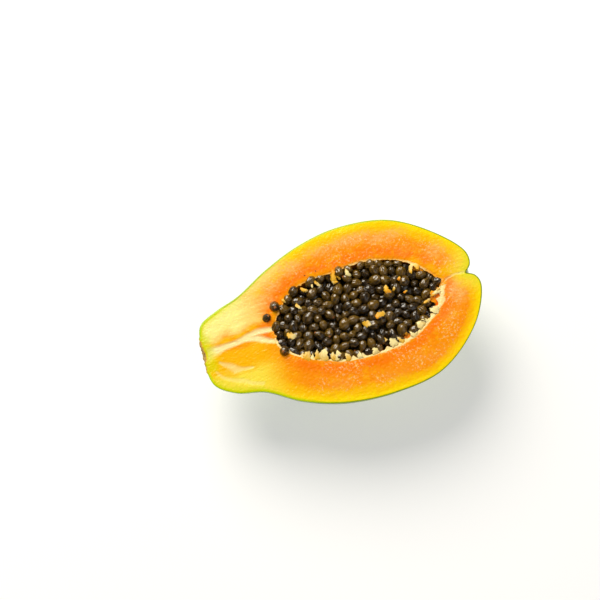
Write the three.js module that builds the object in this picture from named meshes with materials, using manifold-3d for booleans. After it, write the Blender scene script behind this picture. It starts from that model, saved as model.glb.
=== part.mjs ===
// Half of a ripe papaya, cut lengthwise through its axis, lying on its skin with the cut face up and its
// seeds in place. Millimetres, +Z up. X runs from the stem scar to the blossom end and Y across the fruit.
import * as THREE from "three";
import { ParametricGeometry } from "three/addons/geometries/ParametricGeometry.js";
import { mergeVertices } from "three/addons/utils/BufferGeometryUtils.js";
import Module from "manifold-3d";

const wasm = await Module();
wasm.setup();

// The fruit's three flanks, each [distance along the axis, distance from it] at the same thirteen features:
// stem scar's middle and lip, shoulder, neck (2), swell (2), widest, taper (2), blossom lobe, and the
// dimple's lip and floor.
const FRUIT = {
  far: [
    [0.8, 0], [0.4, 9.2], [3.2, 17], [14, 22.3], [28, 26.6], [48, 36.6], [70, 44.6],
    [95, 48.2], [125, 43.4], [150, 26], [161.2, 11.5], [161, 4.2], [157, 0],
  ],
  near: [
    [0.8, 0], [-1.2, 10.4], [0.8, 19], [11, 26.6], [27, 31.2], [45, 42.6], [68, 51],
    [97, 54], [127, 49.5], [153, 29.5], [163.4, 9], [161.8, 3], [157, 0],
  ],
  under: [
    [0.8, 0], [-0.4, 9.8], [2, 18], [12.5, 24.4], [27.5, 28.8], [46, 40], [66, 47.6],
    [86, 49.4], [120, 45.6], [150.5, 28], [160.2, 13], [159.3, 6], [157, 0],
  ],
};
// The seed cavity's flanks, from its blunt stem end to its point, at nine features.
const CAVITY = {
  far: [
    [41.6, 0], [43.6, 5], [49.4, 13], [61.5, 21.8], [84, 24],
    [107, 24], [125, 17.8], [137, 7], [142.5, 0],
  ],
  near: [
    [41.6, 0], [42.2, 8], [48.8, 15.2], [60, 21.6], [80, 28.4],
    [104, 28.4], [122, 23.4], [137, 12], [142.5, 0],
  ],
  under: [
    [41.6, 0], [42.8, 8], [50.6, 16], [64, 22.4], [84, 26],
    [106, 25.6], [124, 19.4], [137, 8.4], [142.5, 0],
  ],
};
const LOBES = 5; // faint ribs round the fruit, with a valley between two of them at the bottom
const LOBE_RISE = 0.008; // of the radius
const REST_SPOT_DEPTH = 1; // how much of the belly's round is flat where it lies
const GAP = 0.35; // between the seeds and the flesh

// Seeds: a single packed layer stands out of the mass that fills the cavity below it.
const SEED_COUNT = 148;
const SEED_LENGTH = 6.5;
const SEED_WIDTH = 5.5;
const SEED_SPREAD = 0.12; // of each size, either way
const SEED_TILT = 0.9; // radians, the most that a seed leans out of the bed
const SEED_PITCH = 5.9; // the distance that neighbours settle to
const SEED_SCATTER = 1.6; // either way, before they settle
const EVEN_STEPS = [0.7548776662466927, 0.5698402909980532]; // a sequence that fills a rectangle evenly
const SEED_MARGIN = 1.9; // from a seed's middle to the cavity's edge
const SETTLE_STEPS = 160;
const SETTLE_RATE = 0.3; // of an overlap, given back by each of the two seeds at a step
const BED_LEVEL = -1.5; // seeds' middles, below the cut face
const BED_SWING = 0.8; // slow rise and fall of the bed
const BED_WAVES = [69, 50]; // along the axis and across it, from one rise to the next
const BED_JITTER = 0.6; // of each seed, either way
const MASS_LEVEL = -1.9; // top of the mass that the seeds are rooted in
const RANDOM_SEED = 20117;
const RANDOM_FACTOR = 48271;
const RANDOM_CYCLE = 2147483647;

// Torn stalks of the seeds along the cavity's near edge.
const TAG_COUNT = 27;
const TAG_ROOT_RADIUS = 1.5;
const TAG_TIP_RADIUS = 0.7;
const TAG_LENGTH = 5.2;
const TAG_ROOTED = 2.2; // of that length, in the flesh
const TAG_FIRST = 0.1; // along the edge, as a share of it
const TAG_LAST = 0.93;
const TAG_SHIFT = 0.7; // of the distance to the next tag, at most
const TAG_SPREAD = 0.3; // of each size, either way
const TAG_SWEEP = 0.5; // radians, sideways either way
const TAG_RISE = 0.35; // radians, upwards at most

const FRUIT_STEPS = [44, 56]; // along the axis and round it
const CAVITY_STEPS = [24, 32];
const MASS_STEPS = [14, 20];
const SEED_STEPS = [6, 4];
const TAG_SIDES = 5;
const OUTLINE_SAMPLES = 200;
const REACH = 400; // larger than the fruit, for the blocks that trim it

const fleshMaterial = new THREE.MeshStandardMaterial({ color: 0xf7981d, roughness: 0.4, metalness: 0 });
const seedMaterial = new THREE.MeshStandardMaterial({ color: 0x2e2817, roughness: 0.22, metalness: 0 });

// Repeatable draws from 0 to 1.
function drawsFrom(seed) {
  let state = seed;
  return () => {
    state = (state * RANDOM_FACTOR) % RANDOM_CYCLE;
    return state / RANDOM_CYCLE;
  };
}

const eitherWay = (draw, most) => most * (2 * draw() - 1);

function flankCurve(points) {
  return new THREE.CatmullRomCurve3(points.map(([x, r]) => new THREE.Vector3(x, r, 0)));
}

const flankCurves = ({ far, near, under }) => ({
  far: flankCurve(far),
  near: flankCurve(near),
  under: flankCurve(under),
});

// A point of the round body that passes through the flanks: share 0 to 1 along it, and turn from the far
// side down.
function bodyPoint(curves, share, turn, target) {
  const cos = Math.cos(turn);
  const weights = { far: Math.max(0, cos) ** 2, near: Math.max(0, -cos) ** 2, under: Math.sin(turn) ** 2 };
  target.set(0, 0, 0);
  for (const side in weights) target.addScaledVector(curves[side].getPoint(share), weights[side]);
  const lobe = 1 - LOBE_RISE * Math.cos(LOBES * (turn - Math.PI / 2)) * Math.sin(Math.PI * share) ** 2;
  const radius = target.y * lobe;
  return target.set(target.x, radius * cos, -radius * Math.sin(turn));
}

function roundBody(flanks, [steps, sides]) {
  const curves = flankCurves(flanks);
  return new ParametricGeometry(
    (u, v, target) => bodyPoint(curves, v, 2 * Math.PI * (1 - u), target),
    sides,
    steps,
  );
}

// A closed geometry as a solid: shared corners merged and collapsed triangles dropped.
function solidOf(geometry) {
  const bare = geometry.clone();
  bare.deleteAttribute("normal");
  bare.deleteAttribute("uv");
  const merged = mergeVertices(bare, 1e-4);
  const corners = merged.index.array;
  const triangles = [];
  for (let i = 0; i < corners.length; i += 3) {
    const [a, b, c] = corners.slice(i, i + 3);
    if (a !== b && b !== c && c !== a) triangles.push(a, b, c);
  }
  return new wasm.Manifold(
    new wasm.Mesh({
      numProp: 3,
      vertProperties: merged.attributes.position.array,
      triVerts: new Uint32Array(triangles),
    }),
  );
}

// The main body of a solid, without the scraps that a cut leaves loose.
function mainBody(solid) {
  return solid.decompose().reduce((a, b) => (a.volume() > b.volume() ? a : b));
}

function geometryOf(solid) {
  const { vertProperties, triVerts } = solid.getMesh();
  const geometry = new THREE.BufferGeometry();
  geometry.setAttribute("position", new THREE.BufferAttribute(vertProperties, 3));
  geometry.setIndex(new THREE.BufferAttribute(triVerts, 1));
  geometry.computeVertexNormals();
  return geometry;
}

// A block that fills everything between two heights.
function slab(low, high) {
  const block = new THREE.BoxGeometry(REACH, REACH, high - low);
  return solidOf(block.translate(0, 0, (low + high) / 2));
}

// A cavity of the same form, drawn in by a gap on all sides.
function drawnIn(flanks, gap) {
  const middle = (flanks.far[0][0] + flanks.far.at(-1)[0]) / 2;
  const half = middle - flanks.far[0][0];
  const inset = ([x, r]) => [middle + (x - middle) * (1 - gap / half), Math.max(0, r - gap)];
  return Object.fromEntries(Object.entries(flanks).map(([side, points]) => [side, points.map(inset)]));
}

// The cavity's half widths at a distance along the axis, read off its sampled edges.
function edgeReader(points) {
  const samples = flankCurve(points).getPoints(OUTLINE_SAMPLES);
  return (x) => {
    const after = samples.findIndex((p, i) => i > 0 && p.x >= x);
    if (after < 0) return 0;
    const [a, b] = [samples[after - 1], samples[after]];
    return THREE.MathUtils.mapLinear(x, a.x, b.x, a.y, b.y);
  };
}

// Seeds scattered over the cavity, then pushed apart until they lie side by side.
function seedPlaces(draw) {
  const farEdge = edgeReader(CAVITY.far);
  const nearEdge = edgeReader(CAVITY.near);
  const start = CAVITY.far[0][0] + SEED_MARGIN;
  const end = CAVITY.far.at(-1)[0] - SEED_MARGIN;
  const keepIn = (seed) => {
    seed.x = THREE.MathUtils.clamp(seed.x, start, end);
    const high = Math.max(0, farEdge(seed.x) - SEED_MARGIN);
    const low = -Math.max(0, nearEdge(seed.x) - SEED_MARGIN);
    seed.y = THREE.MathUtils.clamp(seed.y, low, high);
  };
  const [farReach, nearReach] = [CAVITY.far, CAVITY.near].map((edge) => Math.max(...edge.map(([, r]) => r)));
  const seeds = [];
  for (let i = 1; seeds.length < SEED_COUNT; i++) {
    const [u, v] = EVEN_STEPS.map((step) => (i * step) % 1);
    const x = THREE.MathUtils.lerp(start, end, u) + eitherWay(draw, SEED_SCATTER);
    const y = THREE.MathUtils.lerp(-nearReach, farReach, v) + eitherWay(draw, SEED_SCATTER);
    if (y > farEdge(x) || y < -nearEdge(x)) continue;
    const swell = 1 + eitherWay(draw, SEED_SPREAD);
    const turn = eitherWay(draw, Math.PI);
    const lean = eitherWay(draw, SEED_TILT);
    const lift = eitherWay(draw, BED_JITTER);
    seeds.push({ x, y, swell, turn, lean, lift });
  }
  for (let step = 0; step < SETTLE_STEPS; step++) {
    const pushes = seeds.map((a) => {
      const push = new THREE.Vector2();
      for (const b of seeds) {
        const away = new THREE.Vector2(a.x - b.x, a.y - b.y);
        const apart = away.length();
        const wanted = (SEED_PITCH * (a.swell + b.swell)) / 2;
        if (apart > 0 && apart < wanted) push.addScaledVector(away, SETTLE_RATE * (wanted / apart - 1));
      }
      return push;
    });
    seeds.forEach((seed, i) => {
      seed.x += pushes[i].x;
      seed.y += pushes[i].y;
      keepIn(seed);
    });
  }
  return seeds;
}

function bedHeight(x, y) {
  const [along, across] = BED_WAVES;
  return BED_LEVEL + BED_SWING * Math.sin((2 * Math.PI * x) / along) * Math.cos((2 * Math.PI * y) / across);
}

function seedSolid({ x, y, swell, turn, lean, lift }) {
  const placed = new THREE.Matrix4().makeRotationFromEuler(new THREE.Euler(0, lean, turn, "ZYX"));
  const size = new THREE.Vector3(SEED_LENGTH, SEED_WIDTH, SEED_WIDTH).multiplyScalar(swell / 2);
  placed.scale(size).setPosition(x, y, bedHeight(x, y) + lift);
  const ball = new THREE.SphereGeometry(1, ...SEED_STEPS).rotateZ(Math.PI / 2);
  return solidOf(ball.applyMatrix4(placed));
}

// The torn stalks, grown by a clearance where the seeds have to stay off them.
function stalkTags(draw, clearance) {
  const edge = flankCurve(CAVITY.near);
  const tags = [];
  for (let i = 0; i < TAG_COUNT; i++) {
    const share = THREE.MathUtils.lerp(TAG_FIRST, TAG_LAST, (i + TAG_SHIFT * draw()) / TAG_COUNT);
    const length = TAG_LENGTH * (1 + eitherWay(draw, TAG_SPREAD)) + clearance;
    const girth = 1 + eitherWay(draw, TAG_SPREAD);
    const sweep = eitherWay(draw, TAG_SWEEP);
    const rise = TAG_RISE * draw();
    const root = edge.getPoint(share);
    const along = edge.getTangent(share);
    const inward = Math.atan2(along.x, along.y) + sweep;
    const cone = new THREE.CylinderGeometry(
      TAG_TIP_RADIUS * girth + clearance,
      TAG_ROOT_RADIUS * girth + clearance,
      length,
      TAG_SIDES,
    );
    cone.translate(0, length / 2 - TAG_ROOTED, 0).rotateX(rise);
    cone.rotateZ(inward - Math.PI / 2).translate(root.x, -root.y, -TAG_ROOT_RADIUS * girth);
    tags.push(solidOf(cone));
  }
  return wasm.Manifold.union(tags);
}

function fruitHalf() {
  const lowest = -Math.max(...FRUIT.under.map(([, r]) => r)) * (1 - LOBE_RISE);
  return solidOf(roundBody(FRUIT, FRUIT_STEPS))
    .intersect(slab(lowest + REST_SPOT_DEPTH, 0))
    .subtract(solidOf(roundBody(CAVITY, CAVITY_STEPS)))
    .add(stalkTags(drawsFrom(RANDOM_SEED), 0));
}

function seedMass() {
  const room = solidOf(roundBody(drawnIn(CAVITY, GAP), MASS_STEPS));
  const mass = room.intersect(slab(-REACH / 2, MASS_LEVEL));
  const seeds = seedPlaces(drawsFrom(RANDOM_SEED)).map(seedSolid);
  const packed = wasm.Manifold.union([mass, ...seeds])
    .intersect(room.add(slab(GAP, REACH / 2)))
    .subtract(stalkTags(drawsFrom(RANDOM_SEED), GAP));
  return mainBody(packed);
}

function piece(name, solid, material) {
  const mesh = new THREE.Mesh(geometryOf(solid), material);
  mesh.name = name;
  return mesh;
}

const papaya = new THREE.Group();
const halves = new THREE.Group();
halves.add(piece("fruit_half", fruitHalf(), fleshMaterial));
halves.add(piece("seed_mass", seedMass(), seedMaterial));
papaya.add(halves);

// The origin is under the middle of the part's box, on the surface that it lies on.
const box = new THREE.Box3().setFromObject(halves);
const middle = box.getCenter(new THREE.Vector3());
halves.position.set(-middle.x, -middle.y, -box.min.z);

export default papaya;
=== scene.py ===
"""A ripe papaya half, finished for the studio.

The fruit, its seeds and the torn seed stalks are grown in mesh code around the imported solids.
Outlines are in millimetres, in the fruit's own frame: X from the stem scar's middle along the axis,
Y across the cut face and Z up from it.
"""

import math

import bmesh
import bpy
import numpy as np
from bpy.props import FloatProperty, FloatVectorProperty, IntProperty, PointerProperty
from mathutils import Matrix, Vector, noise


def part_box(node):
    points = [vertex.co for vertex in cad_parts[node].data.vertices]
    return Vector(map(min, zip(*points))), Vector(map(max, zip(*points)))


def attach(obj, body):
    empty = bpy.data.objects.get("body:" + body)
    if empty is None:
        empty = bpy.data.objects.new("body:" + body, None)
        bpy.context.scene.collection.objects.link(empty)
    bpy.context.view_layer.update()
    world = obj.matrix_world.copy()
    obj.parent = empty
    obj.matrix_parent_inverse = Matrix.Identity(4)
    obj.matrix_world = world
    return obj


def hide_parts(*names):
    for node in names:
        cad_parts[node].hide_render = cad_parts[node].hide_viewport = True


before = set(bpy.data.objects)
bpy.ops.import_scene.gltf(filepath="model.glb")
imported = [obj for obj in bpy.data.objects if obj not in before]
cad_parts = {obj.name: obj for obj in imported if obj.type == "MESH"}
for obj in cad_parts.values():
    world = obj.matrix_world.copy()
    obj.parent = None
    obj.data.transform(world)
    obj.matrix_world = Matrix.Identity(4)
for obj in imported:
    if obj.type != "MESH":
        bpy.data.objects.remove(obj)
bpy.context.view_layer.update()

bl_info = {
    "name": "Papaya Half",
    "version": (1, 0, 0),
    "blender": (4, 5, 0),
    "location": "View3D > Sidebar > Papaya",
    "description": "Grows the skin, flesh, seeds and torn stalks of a papaya half around its solids",
    "category": "Object",
}

MM = 0.001
TINY = 1e-9

# Flanks of the fruit and of its seed cavity, each [distance along the axis, distance from it].
FRUIT = {
    "far": [
        [0.8, 0], [0.4, 9.2], [3.2, 17], [14, 22.3], [28, 26.6], [48, 36.6], [70, 44.6],
        [95, 48.2], [125, 43.4], [150, 26], [161.2, 11.5], [161, 4.2], [157, 0],
    ],
    "near": [
        [0.8, 0], [-1.2, 10.4], [0.8, 19], [11, 26.6], [27, 31.2], [45, 42.6], [68, 51],
        [97, 54], [127, 49.5], [153, 29.5], [163.4, 9], [161.8, 3], [157, 0],
    ],
    "under": [
        [0.8, 0], [-0.4, 9.8], [2, 18], [12.5, 24.4], [27.5, 28.8], [46, 40], [66, 47.6],
        [86, 49.4], [120, 45.6], [150.5, 28], [160.2, 13], [159.3, 6], [157, 0],
    ],
}
CAVITY = {
    "far": [
        [41.6, 0], [43.6, 5], [49.4, 13], [61.5, 21.8], [84, 24],
        [107, 24], [125, 17.8], [137, 7], [142.5, 0],
    ],
    "near": [
        [41.6, 0], [42.2, 8], [48.8, 15.2], [60, 21.6], [80, 28.4],
        [104, 28.4], [122, 23.4], [137, 12], [142.5, 0],
    ],
    "under": [
        [41.6, 0], [42.8, 8], [50.6, 16], [64, 22.4], [84, 26],
        [106, 25.6], [124, 19.4], [137, 8.4], [142.5, 0],
    ],
}
LOBES = 5
LOBE_RISE = 0.008
REST_SPOT_DEPTH = 1.0
CUT_LEVEL = max(reach for _, reach in FRUIT["under"]) * (1 - LOBE_RISE) - REST_SPOT_DEPTH

# Steps of the fruit's mesh: along each flank, across the cut face, round the skin and down the cavity.
FLANK_STEPS = 600
FACE_STEPS = 84
SKIN_STEPS = 96
WALL_STEPS = 40

# Pale strands in the cut flesh: points on the cut face with the strand's half width, and its strength.
STRANDS = [
    (
        [
            (2, -0.5, 3.8), (7, 0.4, 3.0), (13, 0.9, 2.0), (19.6, 1.3, 1.7),
            (28, 2.9, 1.9), (36.5, 3.2, 1.8), (44, 2.4, 1),
        ],
        0.95,
    ),
    ([(22, 2.2, 1.2), (29, 0.8, 1.9), (35.5, -2.2, 2.0), (43, -5.4, 1.1)], 0.95),
    ([(7.4, -7, 0.8), (12, -11.3, 2.2), (15.4, -13.6, 1.9), (19.3, -14.3, 1.2), (24.5, -15.1, 0.6)], 0.5),
    ([(3.4, -12, 0.8), (6.6, -16, 1.2), (15, -20.4, 1.5), (27, -26, 1.0)], 0.32),
    ([(141.4, -3.6, 0.8), (143.6, -1, 0.7), (148.8, 0.6, 0.6), (153.7, 0.7, 0.7), (158, 0.2, 1)], 0.42),
]
STRAND_STEPS = 24
# Painted sheen in paler, pinkish patches: middle on the cut face, reach along and across the axis, and
# strength.
PINK_SHEEN_PATCHES = [
    (145, 18, 8, 6, 0.65), (127, 23, 8, 4, 0.3), (148, 11, 7, 4, 0.35), (120, 35, 14, 4, 0.8),
    (100, 39, 16, 4, 0.85), (80, 38, 12, 4, 0.6), (60, 34, 11, 5, 0.9), (47, 28, 9, 6, 0.9),
    (41, 20, 8, 6, 0.8), (149, -8, 6, 9, 0.95), (140, -20, 8, 6, 0.3), (122, -40, 16, 5, 0.25),
    (100, -44, 16, 4, 0.25), (68, -40, 9, 4, 0.3),
]
# Golden patches at the blossom end's seam, on the lip beside it and along the neck's main strand.
GOLD_PATCHES = [
    (147, 4.6, 9, 4.2, 0.85), (138, 8.4, 5, 4, 0.7), (131, 14.6, 5, 3.5, 0.6), (13.5, 4.4, 6.5, 2.4, 0.9),
    (22.5, 4.8, 6, 2.6, 0.9), (29.5, 7.6, 5, 3, 0.8), (36, 9.4, 3.5, 2.2, 0.5),
]
SPECKS = [(68.6, 26.7), (75.4, 27.3)]

# Torn stalks caught among the seeds: place on the cut face, length, width, heading in degrees and height.
SCRAPS = [
    (86.4, 20.6, 4.8, 1.5, 285, 0.2), (84.0, 17.6, 3.4, 2.2, 190, 0.5), (70.8, 20.6, 4.8, 1.4, 265, 0.2),
    (74.0, 19.6, 4.4, 1.7, 300, 0.5), (65.4, 18.6, 4.6, 1.9, 320, 0.6), (59.3, 10.2, 4.6, 1.6, 300, 0.8),
    (50.4, -5.4, 5.8, 3.0, 330, 2.5), (44.8, 3.4, 4.8, 2.0, 275, -0.2), (58.6, -12.6, 3.8, 1.5, 80, 0.6),
    (102.3, -8.8, 6.2, 3.1, 10, 1.5), (93.4, -11.5, 5.0, 3.4, 352, 0.9), (110.4, 3.9, 5.6, 3.0, 97, 2.0),
    (119.5, 8.2, 2.6, 1.5, 50, 0.9), (127.8, 12.2, 7.0, 1.8, 62, 0.8), (120.3, -0.5, 2.6, 1.1, 20, 1.7),
    (99.9, -23.3, 3.4, 2.0, 330, 0.9), (112.0, -21.6, 5.6, 2.6, 118, 0.4), (130.4, -9.3, 4.6, 1.7, 15, 0.2),
    (52.6, 16.4, 3.6, 1.2, 300, 0.0), (114.6, 3.0, 2.6, 1.1, 60, 1.6), (131.2, 12.6, 5.6, 2.4, 110, 0.2),
    (135.4, -6.8, 5.0, 1.3, 195, 0.1), (137.2, -5.4, 5.4, 1.4, 215, 0.0),
]
# Flaps that hang from the far lip over the seeds, in rows like those of the torn stalks.
FLAPS = [(83.8, 20.9, 7.8, 3.2, 257, 1.0), (92.2, 20.4, 5.2, 2.0, 283, 1.0)]
# Torn tabs of the lining along the cavity's near edge, in like rows.
TABS = [
    (55.6, -18.2, 6.8, 4.2, 58, 0.3), (61.0, -20.0, 6.0, 2.6, 76, 0.4), (64.6, -20.8, 7.2, 4.4, 68, 0.3),
    (69.4, -23.4, 5.0, 2.4, 88, 0.3), (72.6, -24.0, 6.4, 3.6, 78, 0.3), (77.4, -26.2, 5.0, 2.8, 97, 0.2),
    (84.0, -27.6, 4.0, 2.6, 80, 0.2), (93.2, -27.6, 4.8, 3.4, 100, 0.2), (104.4, -25.8, 5.8, 3.6, 100, 0.3),
    (117.0, -24.8, 5.0, 3.2, 118, 0.2), (122.6, -21.2, 5.6, 4.0, 130, 0.3),
    (132.8, -15.6, 5.8, 3.4, 150, 0.2), (137.6, -6.0, 5.8, 2.2, 195, 0.1),
]
# Bare pulp on the cavity's wall, in like rows.
PULP = [(137.6, -9.0, 12, 9, 108, -2.0), (132.4, 12.2, 9, 6, 130, -1.0), (113.8, -26.2, 9, 4.5, 22, -2.2)]
# Places where the top seeds have sunk.
PITS = [
    (104.6, -3.6), (101.4, 5.4), (125.0, 14.6), (112.4, -3.2), (137.4, 6.4), (75.2, 9.2),
    (72.6, -8.0), (117.0, -12.2), (112.0, 19.0), (127.0, -1.2), (83.6, 20.4),
]
# Places where the cavity's wall shows between the seeds: middle and radius.
BARE_SPOTS = [(137.4, -9.2, 4.6), (131.6, 12.6, 3.0), (113.6, -26.0, 2.8), (44.5, -10.5, 1.2)]
# Seeds that lie apart, pressed into the flesh beside the cavity.
STRAYS = [(40.4, 9.6), (46.7, 14.7), (44.2, -11.6)]


def paint(red, green, blue):
    """A linear colour from the eight-bit values that a screen shows."""
    shares = [value / 255 for value in (red, green, blue)]
    return tuple(s / 12.92 if s <= 0.04045 else ((s + 0.055) / 1.055) ** 2.4 for s in shares)


def colour(name, description, shown):
    """A colour setting, with the values that a screen shows as its default."""
    return FloatVectorProperty(
        name=name, description=description, subtype="COLOR", size=3, min=0, max=1, default=paint(*shown)
    )


def length(name, description, default):
    """A length setting, in metres, with its default in millimetres."""
    return FloatProperty(name=name, description=description, unit="LENGTH", min=0, default=default * MM)


def angle(name, description, degrees):
    """An angle setting, with its default in degrees."""
    return FloatProperty(
        name=name, description=description, subtype="ANGLE", default=math.radians(degrees)
    )


def power(name, description, default):
    """A light's power setting."""
    return FloatProperty(name=name, description=description, unit="POWER", default=default)


class PapayaFruitSettings(bpy.types.PropertyGroup):
    """Finish of the skin, the cut flesh and the cavity's lining."""

    rim_roll: length("Rim roll", "How far the cut face drops at the peel", 0.22)
    edge_roll: length("Edge roll", "How far the cut face drops into the cavity on its far side", 0.4)
    grain_relief: length("Grain relief", "Height of the cut flesh's grain", 0.09)
    face_swell: length("Face swell", "Slow rise and fall of the cut face", 0.3)
    skin_dents: length("Skin dents", "Depth of the slow dents in the skin", 0.3)
    tooth_reach: length("Lining tooth", "Longest torn tooth of the lining", 3.2)
    skin_green: colour("Skin green", "Main colour of the skin", (134, 164, 4))
    skin_dark: colour("Skin shade", "Deeper green of the skin", (104, 136, 3))
    skin_lime: colour("Skin lime", "Ripening lime colour of the skin", (176, 200, 5))
    skin_blush: colour("Skin blush", "Yellow where the skin is ripest", (214, 200, 12))
    cork: colour("Cork", "Stem scar", (224, 174, 50))
    peel: colour("Peel", "Cut edge of the skin", (140, 160, 3))
    peel_lime: colour("Peel lime", "Cut edge of the skin along the neck", (184, 210, 6))
    rim_green: colour("Rim green", "Flesh against the peel", (216, 216, 5))
    rim_yellow: colour("Rim yellow", "Flesh just under the skin", (254, 222, 4))
    gold: colour("Gold", "Flesh between the rim and the middle", (253, 190, 3))
    orange: colour("Orange", "Ripe flesh", (252, 147, 5))
    deep_orange: colour("Deep orange", "Flesh around the cavity", (252, 124, 2))
    lip: colour("Lip", "Flesh at the cavity's edge", (252, 156, 5))
    # Painted sheen: pale pinkish patches that stand in for soft reflections on the wet flesh.
    pink_sheen: colour("Pink", "Pale patches in the flesh", (252, 186, 104))
    cream: colour("Cream", "Neck flesh", (253, 244, 146))
    strand: colour("Strand", "Fibre strands in the flesh", (255, 245, 178))
    blush: colour("Blush", "Inner side of the neck's pale flesh", (253, 214, 116))
    lemon: colour("Lemon", "Near side of the neck", (247, 230, 74))
    # Painted highlight: the colour of the glints on the wet cut flesh.
    glint: colour("Glint", "Moist points on the cut flesh", (255, 222, 160))
    lining: colour("Lining", "Torn lining along the cavity", (254, 232, 168))


class PapayaSeedSettings(bpy.types.PropertyGroup):
    """Size, packing and finish of the seeds."""

    count: IntProperty(name="Seeds", description="Seeds in the top layer", min=1, default=158)
    below_count: IntProperty(name="Seeds below", description="Seeds in the layer below", min=1, default=118)
    seed_length: length("Length", "Length of a seed", 6.6)
    seed_width: length("Width", "Width of a seed", 5.0)
    pitch: length("Pitch", "Distance that neighbours settle to", 5.7)
    wrinkle: length("Wrinkle", "Height of the wrinkles on a seed", 0.42)
    dark: colour("Dark", "Darkest seed coat", (30, 17, 1))
    olive: colour("Olive", "Lighter seed coat", (110, 80, 10))
    hilum: colour("Hilum", "Point where the stalk was", (186, 112, 48))


class PapayaStalkSettings(bpy.types.PropertyGroup):
    """Finish of the torn stalks among the seeds."""

    ragged: length("Raggedness", "Height of the torn surface", 0.16)
    cream: colour("Cream", "Dry end of a stalk", (255, 234, 164))
    amber: colour("Amber", "Moist end of a stalk", (240, 182, 44))
    pulp: colour("Pulp", "Bare pulp on the cavity's wall", (255, 160, 10))


class PapayaStageSettings(bpy.types.PropertyGroup):
    """Camera, light and floor."""

    elevation: angle("Elevation", "Camera's height angle", 76)
    azimuth: angle("Azimuth", "Camera's turn round the fruit", -17.963)
    distance: length("Distance", "From the camera to the point that it looks at", 1100)
    half_view: FloatProperty(
        name="Half view", description="Tangent of half the camera's angle of view", default=0.15572
    )
    aim: FloatVectorProperty(
        name="Aim",
        description="Point of the cut face in the middle of the picture, in the fruit's own frame",
        unit="LENGTH", size=2, default=(61.69 * MM, 13.78 * MM)
    )
    key_colour: colour("Key colour", "Colour of the key light", (255, 250, 238))
    key_power: power("Key light", "Power of the key light", 37.5)
    fill_power: power("Fill light", "Power of the fill light", 6)
    sky_strength: FloatProperty(
        name="Sky", description="Strength of the light from all round", default=0.09
    )
    floor_glow: FloatProperty(
        name="Floor glow", description="Light that the floor gives of itself", default=0.48
    )
    floor: colour("Floor", "Plain floor", (202, 202, 202))


class Draws:
    """Repeatable draws from 0 to 1."""

    FACTOR = 48271
    CYCLE = 2147483647

    def __init__(self, state):
        self.state = state

    def __call__(self):
        self.state = self.state * self.FACTOR % self.CYCLE
        return self.state / self.CYCLE

    def either_way(self, most):
        return most * (2 * self() - 1)

    def between(self, low, high):
        return low + (high - low) * self()


def smooth_step(value, low, high):
    """0 at low and 1 at high, with a soft start and end."""
    share = np.clip((value - low) / (high - low), 0, 1)
    return share * share * (3 - 2 * share)


def ripple(points, size, shift=0.0, octaves=2):
    """Smooth noise of about -1 to 1 at each point, with waves of about that size."""
    scaled = np.asarray(points, float) / size + shift
    return np.array([noise.fractal(p, 1.0, 2.0, octaves) for p in scaled.reshape(-1, 3)]).reshape(
        scaled.shape[:-1]
    )


def flank_points(features, shares):
    """Points of the smooth curve through a flank's features, at shares from 0 to 1 of them."""
    inner = np.asarray(features, float)
    points = np.vstack([2 * inner[0] - inner[1], inner, 2 * inner[-1] - inner[-2]])
    last = len(inner) - 1
    place = np.clip(np.asarray(shares, float), 0, 1) * last
    index = np.minimum(place.astype(int), last - 1)
    weight = (place - index)[:, None]
    p0, p1, p2, p3 = (points[index + k] for k in range(4))
    d0, d1, d2 = (
        np.sqrt(np.linalg.norm(b - a, axis=1))[:, None] for a, b in ((p0, p1), (p1, p2), (p2, p3))
    )
    start = ((p1 - p0) / d0 - (p2 - p0) / (d0 + d1) + (p2 - p1) / d1) * d1
    end = ((p2 - p1) / d1 - (p3 - p1) / (d1 + d2) + (p3 - p2) / d2) * d1
    square = -3 * p1 + 3 * p2 - 2 * start - end
    cube = 2 * p1 - 2 * p2 + start + end
    return p1 + weight * (start + weight * (square + weight * cube))


def round_body(flanks, shares, turns):
    """Points, turns by shares, of the round body through the flanks, with turns from the far side down."""
    cos, sin = np.cos(turns)[:, None], np.sin(turns)[:, None]
    weights = {"far": np.maximum(cos, 0) ** 2, "near": np.maximum(-cos, 0) ** 2, "under": sin**2}
    curves = {side: flank_points(flanks[side], shares) for side in flanks}
    along = sum(weights[side] * curves[side][:, 0] for side in flanks)
    reach = sum(weights[side] * curves[side][:, 1] for side in flanks)
    lobe = np.cos(LOBES * (np.asarray(turns)[:, None] - math.pi / 2)) * np.sin(math.pi * shares) ** 2
    reach = reach * (1 - LOBE_RISE * lobe)
    return np.stack([along, reach * cos, -reach * sin], axis=-1)


def line_distance(points, line):
    """Distance from points of the cut face to a line on it, over the line's half width if it has one."""
    line = np.asarray(line, float)
    widths = line[:, 2] if line.shape[1] > 2 else np.ones(len(line))
    nearest = np.full(len(points), np.inf)
    for a, b, wide_a, wide_b in zip(line[:-1, :2], line[1:, :2], widths[:-1], widths[1:]):
        run = b - a
        share = np.clip((points - a) @ run / max(run @ run, TINY), 0, 1)
        away = np.linalg.norm(points - a - share[:, None] * run, axis=1)
        nearest = np.minimum(nearest, away / (wide_a + share * (wide_b - wide_a)))
    return nearest


def place_in_frame():
    """Where the fruit's own frame lies in the part's frame, in millimetres."""
    shares = np.linspace(0, 1, FLANK_STEPS)
    outline = round_body(FRUIT, shares, np.array([0, math.pi])).reshape(-1, 3)
    low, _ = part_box("fruit_half")
    lowest = outline.min(axis=0)
    return np.array([low.x / MM - lowest[0], low.y / MM - lowest[1], low.z / MM + CUT_LEVEL])


PLACE = place_in_frame()


def in_frame(points):
    """Points of the fruit's own frame, in metres in the part's frame."""
    return (np.asarray(points, float) + PLACE) * MM


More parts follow.
